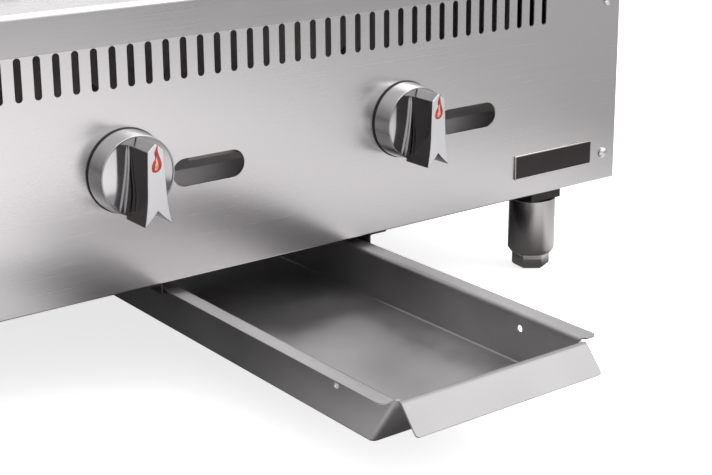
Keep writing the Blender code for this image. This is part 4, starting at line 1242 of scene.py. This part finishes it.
def camera():
    """The viewpoint: left of the front, looking down over the knobs and the tray."""
    place = (-0.5046, FRONT - 0.7569, 0.3784)
    azimuth, elevation, roll = np.radians([36.904, 15.661, 0.408])
    level = np.cos(elevation)
    ahead = Vector((np.sin(azimuth) * level, np.cos(azimuth) * level, -np.sin(elevation)))
    right = Vector((np.cos(azimuth), -np.sin(azimuth), 0))
    down = ahead.cross(right)
    x_axis = np.cos(roll) * right + np.sin(roll) * down
    y_axis = np.sin(roll) * right - np.cos(roll) * down
    data = bpy.data.cameras.new("camera")
    data.lens = bpy.context.scene.charbroiler_stage.lens
    data.sensor_width = 36
    data.shift_y = -0.0843
    made = bpy.data.objects.new("camera", data)
    turn = Matrix((x_axis, y_axis, -ahead)).transposed().to_4x4()
    made.matrix_world = Matrix.Translation(place) @ turn
    bpy.context.scene.collection.objects.link(made)
    bpy.context.scene.camera = made


# ---- operators -----------------------------------------------------------------------------------
class CHARBROILER_OT_finish_solids(bpy.types.Operator):
    """Gives the solids that stay in sight their finishes"""

    bl_idname = "charbroiler.finish_solids"
    bl_label = "Finish the solids"

    def execute(self, context):
        solids()
        return {"FINISHED"}


class CHARBROILER_OT_front_panel(bpy.types.Operator):
    """Builds the slotted front panel"""

    bl_idname = "charbroiler.front_panel"
    bl_label = "Front panel"

    def execute(self, context):
        front_panel()
        return {"FINISHED"}


class CHARBROILER_OT_front_ledge(bpy.types.Operator):
    """Builds the rounded front ledge"""

    bl_idname = "charbroiler.front_ledge"
    bl_label = "Front ledge"

    def execute(self, context):
        front_ledge()
        return {"FINISHED"}


class CHARBROILER_OT_side_panels(bpy.types.Operator):
    """Builds the side skins"""

    bl_idname = "charbroiler.side_panels"
    bl_label = "Side panels"

    def execute(self, context):
        side_panels()
        return {"FINISHED"}


class CHARBROILER_OT_trim_ends(bpy.types.Operator):
    """Builds the turned-down ends of the side trims"""

    bl_idname = "charbroiler.trim_ends"
    bl_label = "Trim ends"

    def execute(self, context):
        trim_ends()
        return {"FINISHED"}


class CHARBROILER_OT_slot_strip(bpy.types.Operator):
    """Builds the strip inside the left lighting slot"""

    bl_idname = "charbroiler.slot_strip"
    bl_label = "Slot strip"

    def execute(self, context):
        slot_strip()
        return {"FINISHED"}


class CHARBROILER_OT_back_splash(bpy.types.Operator):
    """Builds the back splash"""

    bl_idname = "charbroiler.back_splash"
    bl_label = "Back splash"

    def execute(self, context):
        back_splash()
        return {"FINISHED"}


class CHARBROILER_OT_knobs(bpy.types.Operator):
    """Builds both control knobs"""

    bl_idname = "charbroiler.knobs"
    bl_label = "Knobs"

    def execute(self, context):
        knobs()
        return {"FINISHED"}


class CHARBROILER_OT_knob_seals(bpy.types.Operator):
    """Builds the seals behind the knobs"""

    bl_idname = "charbroiler.knob_seals"
    bl_label = "Knob seals"

    def execute(self, context):
        knob_seals()
        return {"FINISHED"}


class CHARBROILER_OT_nameplate(bpy.types.Operator):
    """Builds the blank nameplate"""

    bl_idname = "charbroiler.nameplate"
    bl_label = "Nameplate"

    def execute(self, context):
        nameplate()
        return {"FINISHED"}


class CHARBROILER_OT_screws(bpy.types.Operator):
    """Builds the dome-headed screws"""

    bl_idname = "charbroiler.screws"
    bl_label = "Screws"

    def execute(self, context):
        screws()
        return {"FINISHED"}


class CHARBROILER_OT_tray(bpy.types.Operator):
    """Builds the pressed crumb tray"""

    bl_idname = "charbroiler.tray"
    bl_label = "Crumb tray"

    def execute(self, context):
        tray()
        return {"FINISHED"}


class CHARBROILER_OT_rails(bpy.types.Operator):
    """Builds the tray's rails"""

    bl_idname = "charbroiler.rails"
    bl_label = "Tray rails"

    def execute(self, context):
        rails()
        return {"FINISHED"}


class CHARBROILER_OT_legs(bpy.types.Operator):
    """Builds the legs and adjusting feet"""

    bl_idname = "charbroiler.legs"
    bl_label = "Legs"

    def execute(self, context):
        legs()
        return {"FINISHED"}


class CHARBROILER_OT_grates(bpy.types.Operator):
    """Builds the cast grates"""

    bl_idname = "charbroiler.grates"
    bl_label = "Grates"

    def execute(self, context):
        grates()
        return {"FINISHED"}


class CHARBROILER_OT_stage(bpy.types.Operator):
    """Builds the floor, the light and the camera"""

    bl_idname = "charbroiler.stage"
    bl_label = "Stage"

    def execute(self, context):
        floor()
        dome()
        lamps()
        camera()
        return {"FINISHED"}


OPERATORS = (
    CHARBROILER_OT_finish_solids,
    CHARBROILER_OT_front_panel,
    CHARBROILER_OT_front_ledge,
    CHARBROILER_OT_side_panels,
    CHARBROILER_OT_trim_ends,
    CHARBROILER_OT_slot_strip,
    CHARBROILER_OT_back_splash,
    CHARBROILER_OT_knobs,
    CHARBROILER_OT_knob_seals,
    CHARBROILER_OT_nameplate,
    CHARBROILER_OT_screws,
    CHARBROILER_OT_tray,
    CHARBROILER_OT_rails,
    CHARBROILER_OT_legs,
    CHARBROILER_OT_grates,
    CHARBROILER_OT_stage,
)


class CHARBROILER_PT_pieces(bpy.types.Panel):
    """Lists the sizes, the finishes and a button for each piece."""

    bl_idname = "CHARBROILER_PT_pieces"
    bl_label = "Charbroiler"
    bl_space_type = "VIEW_3D"
    bl_region_type = "UI"
    bl_category = "Charbroiler"

    def draw(self, context):
        for group in (context.scene.charbroiler_sizes, context.scene.charbroiler_finishes,
                      context.scene.charbroiler_stage):
            box = self.layout.box()
            for name in group.__annotations__:
                box.prop(group, name)
        for made in OPERATORS:
            self.layout.operator(made.bl_idname)


CLASSES = (CharbroilerSizes, CharbroilerFinishes, CharbroilerStage, *OPERATORS, CHARBROILER_PT_pieces)


def register():
    for made in CLASSES:
        bpy.utils.register_class(made)
    bpy.types.Scene.charbroiler_sizes = PointerProperty(type=CharbroilerSizes)
    bpy.types.Scene.charbroiler_finishes = PointerProperty(type=CharbroilerFinishes)
    bpy.types.Scene.charbroiler_stage = PointerProperty(type=CharbroilerStage)


def unregister():
    del bpy.types.Scene.charbroiler_stage
    del bpy.types.Scene.charbroiler_finishes
    del bpy.types.Scene.charbroiler_sizes
    for made in reversed(CLASSES):
        bpy.utils.unregister_class(made)


def main():
    register()
    bpy.ops.charbroiler.finish_solids()
    bpy.ops.charbroiler.front_panel()
    bpy.ops.charbroiler.front_ledge()
    bpy.ops.charbroiler.side_panels()
    bpy.ops.charbroiler.trim_ends()
    bpy.ops.charbroiler.slot_strip()
    bpy.ops.charbroiler.back_splash()
    bpy.ops.charbroiler.knobs()
    bpy.ops.charbroiler.knob_seals()
    bpy.ops.charbroiler.nameplate()
    bpy.ops.charbroiler.screws()
    bpy.ops.charbroiler.tray()
    bpy.ops.charbroiler.rails()
    bpy.ops.charbroiler.legs()
    bpy.ops.charbroiler.grates()
    bpy.ops.charbroiler.stage()
    bpy.context.view_layer.update()


if __name__ == "__main__":
    main()
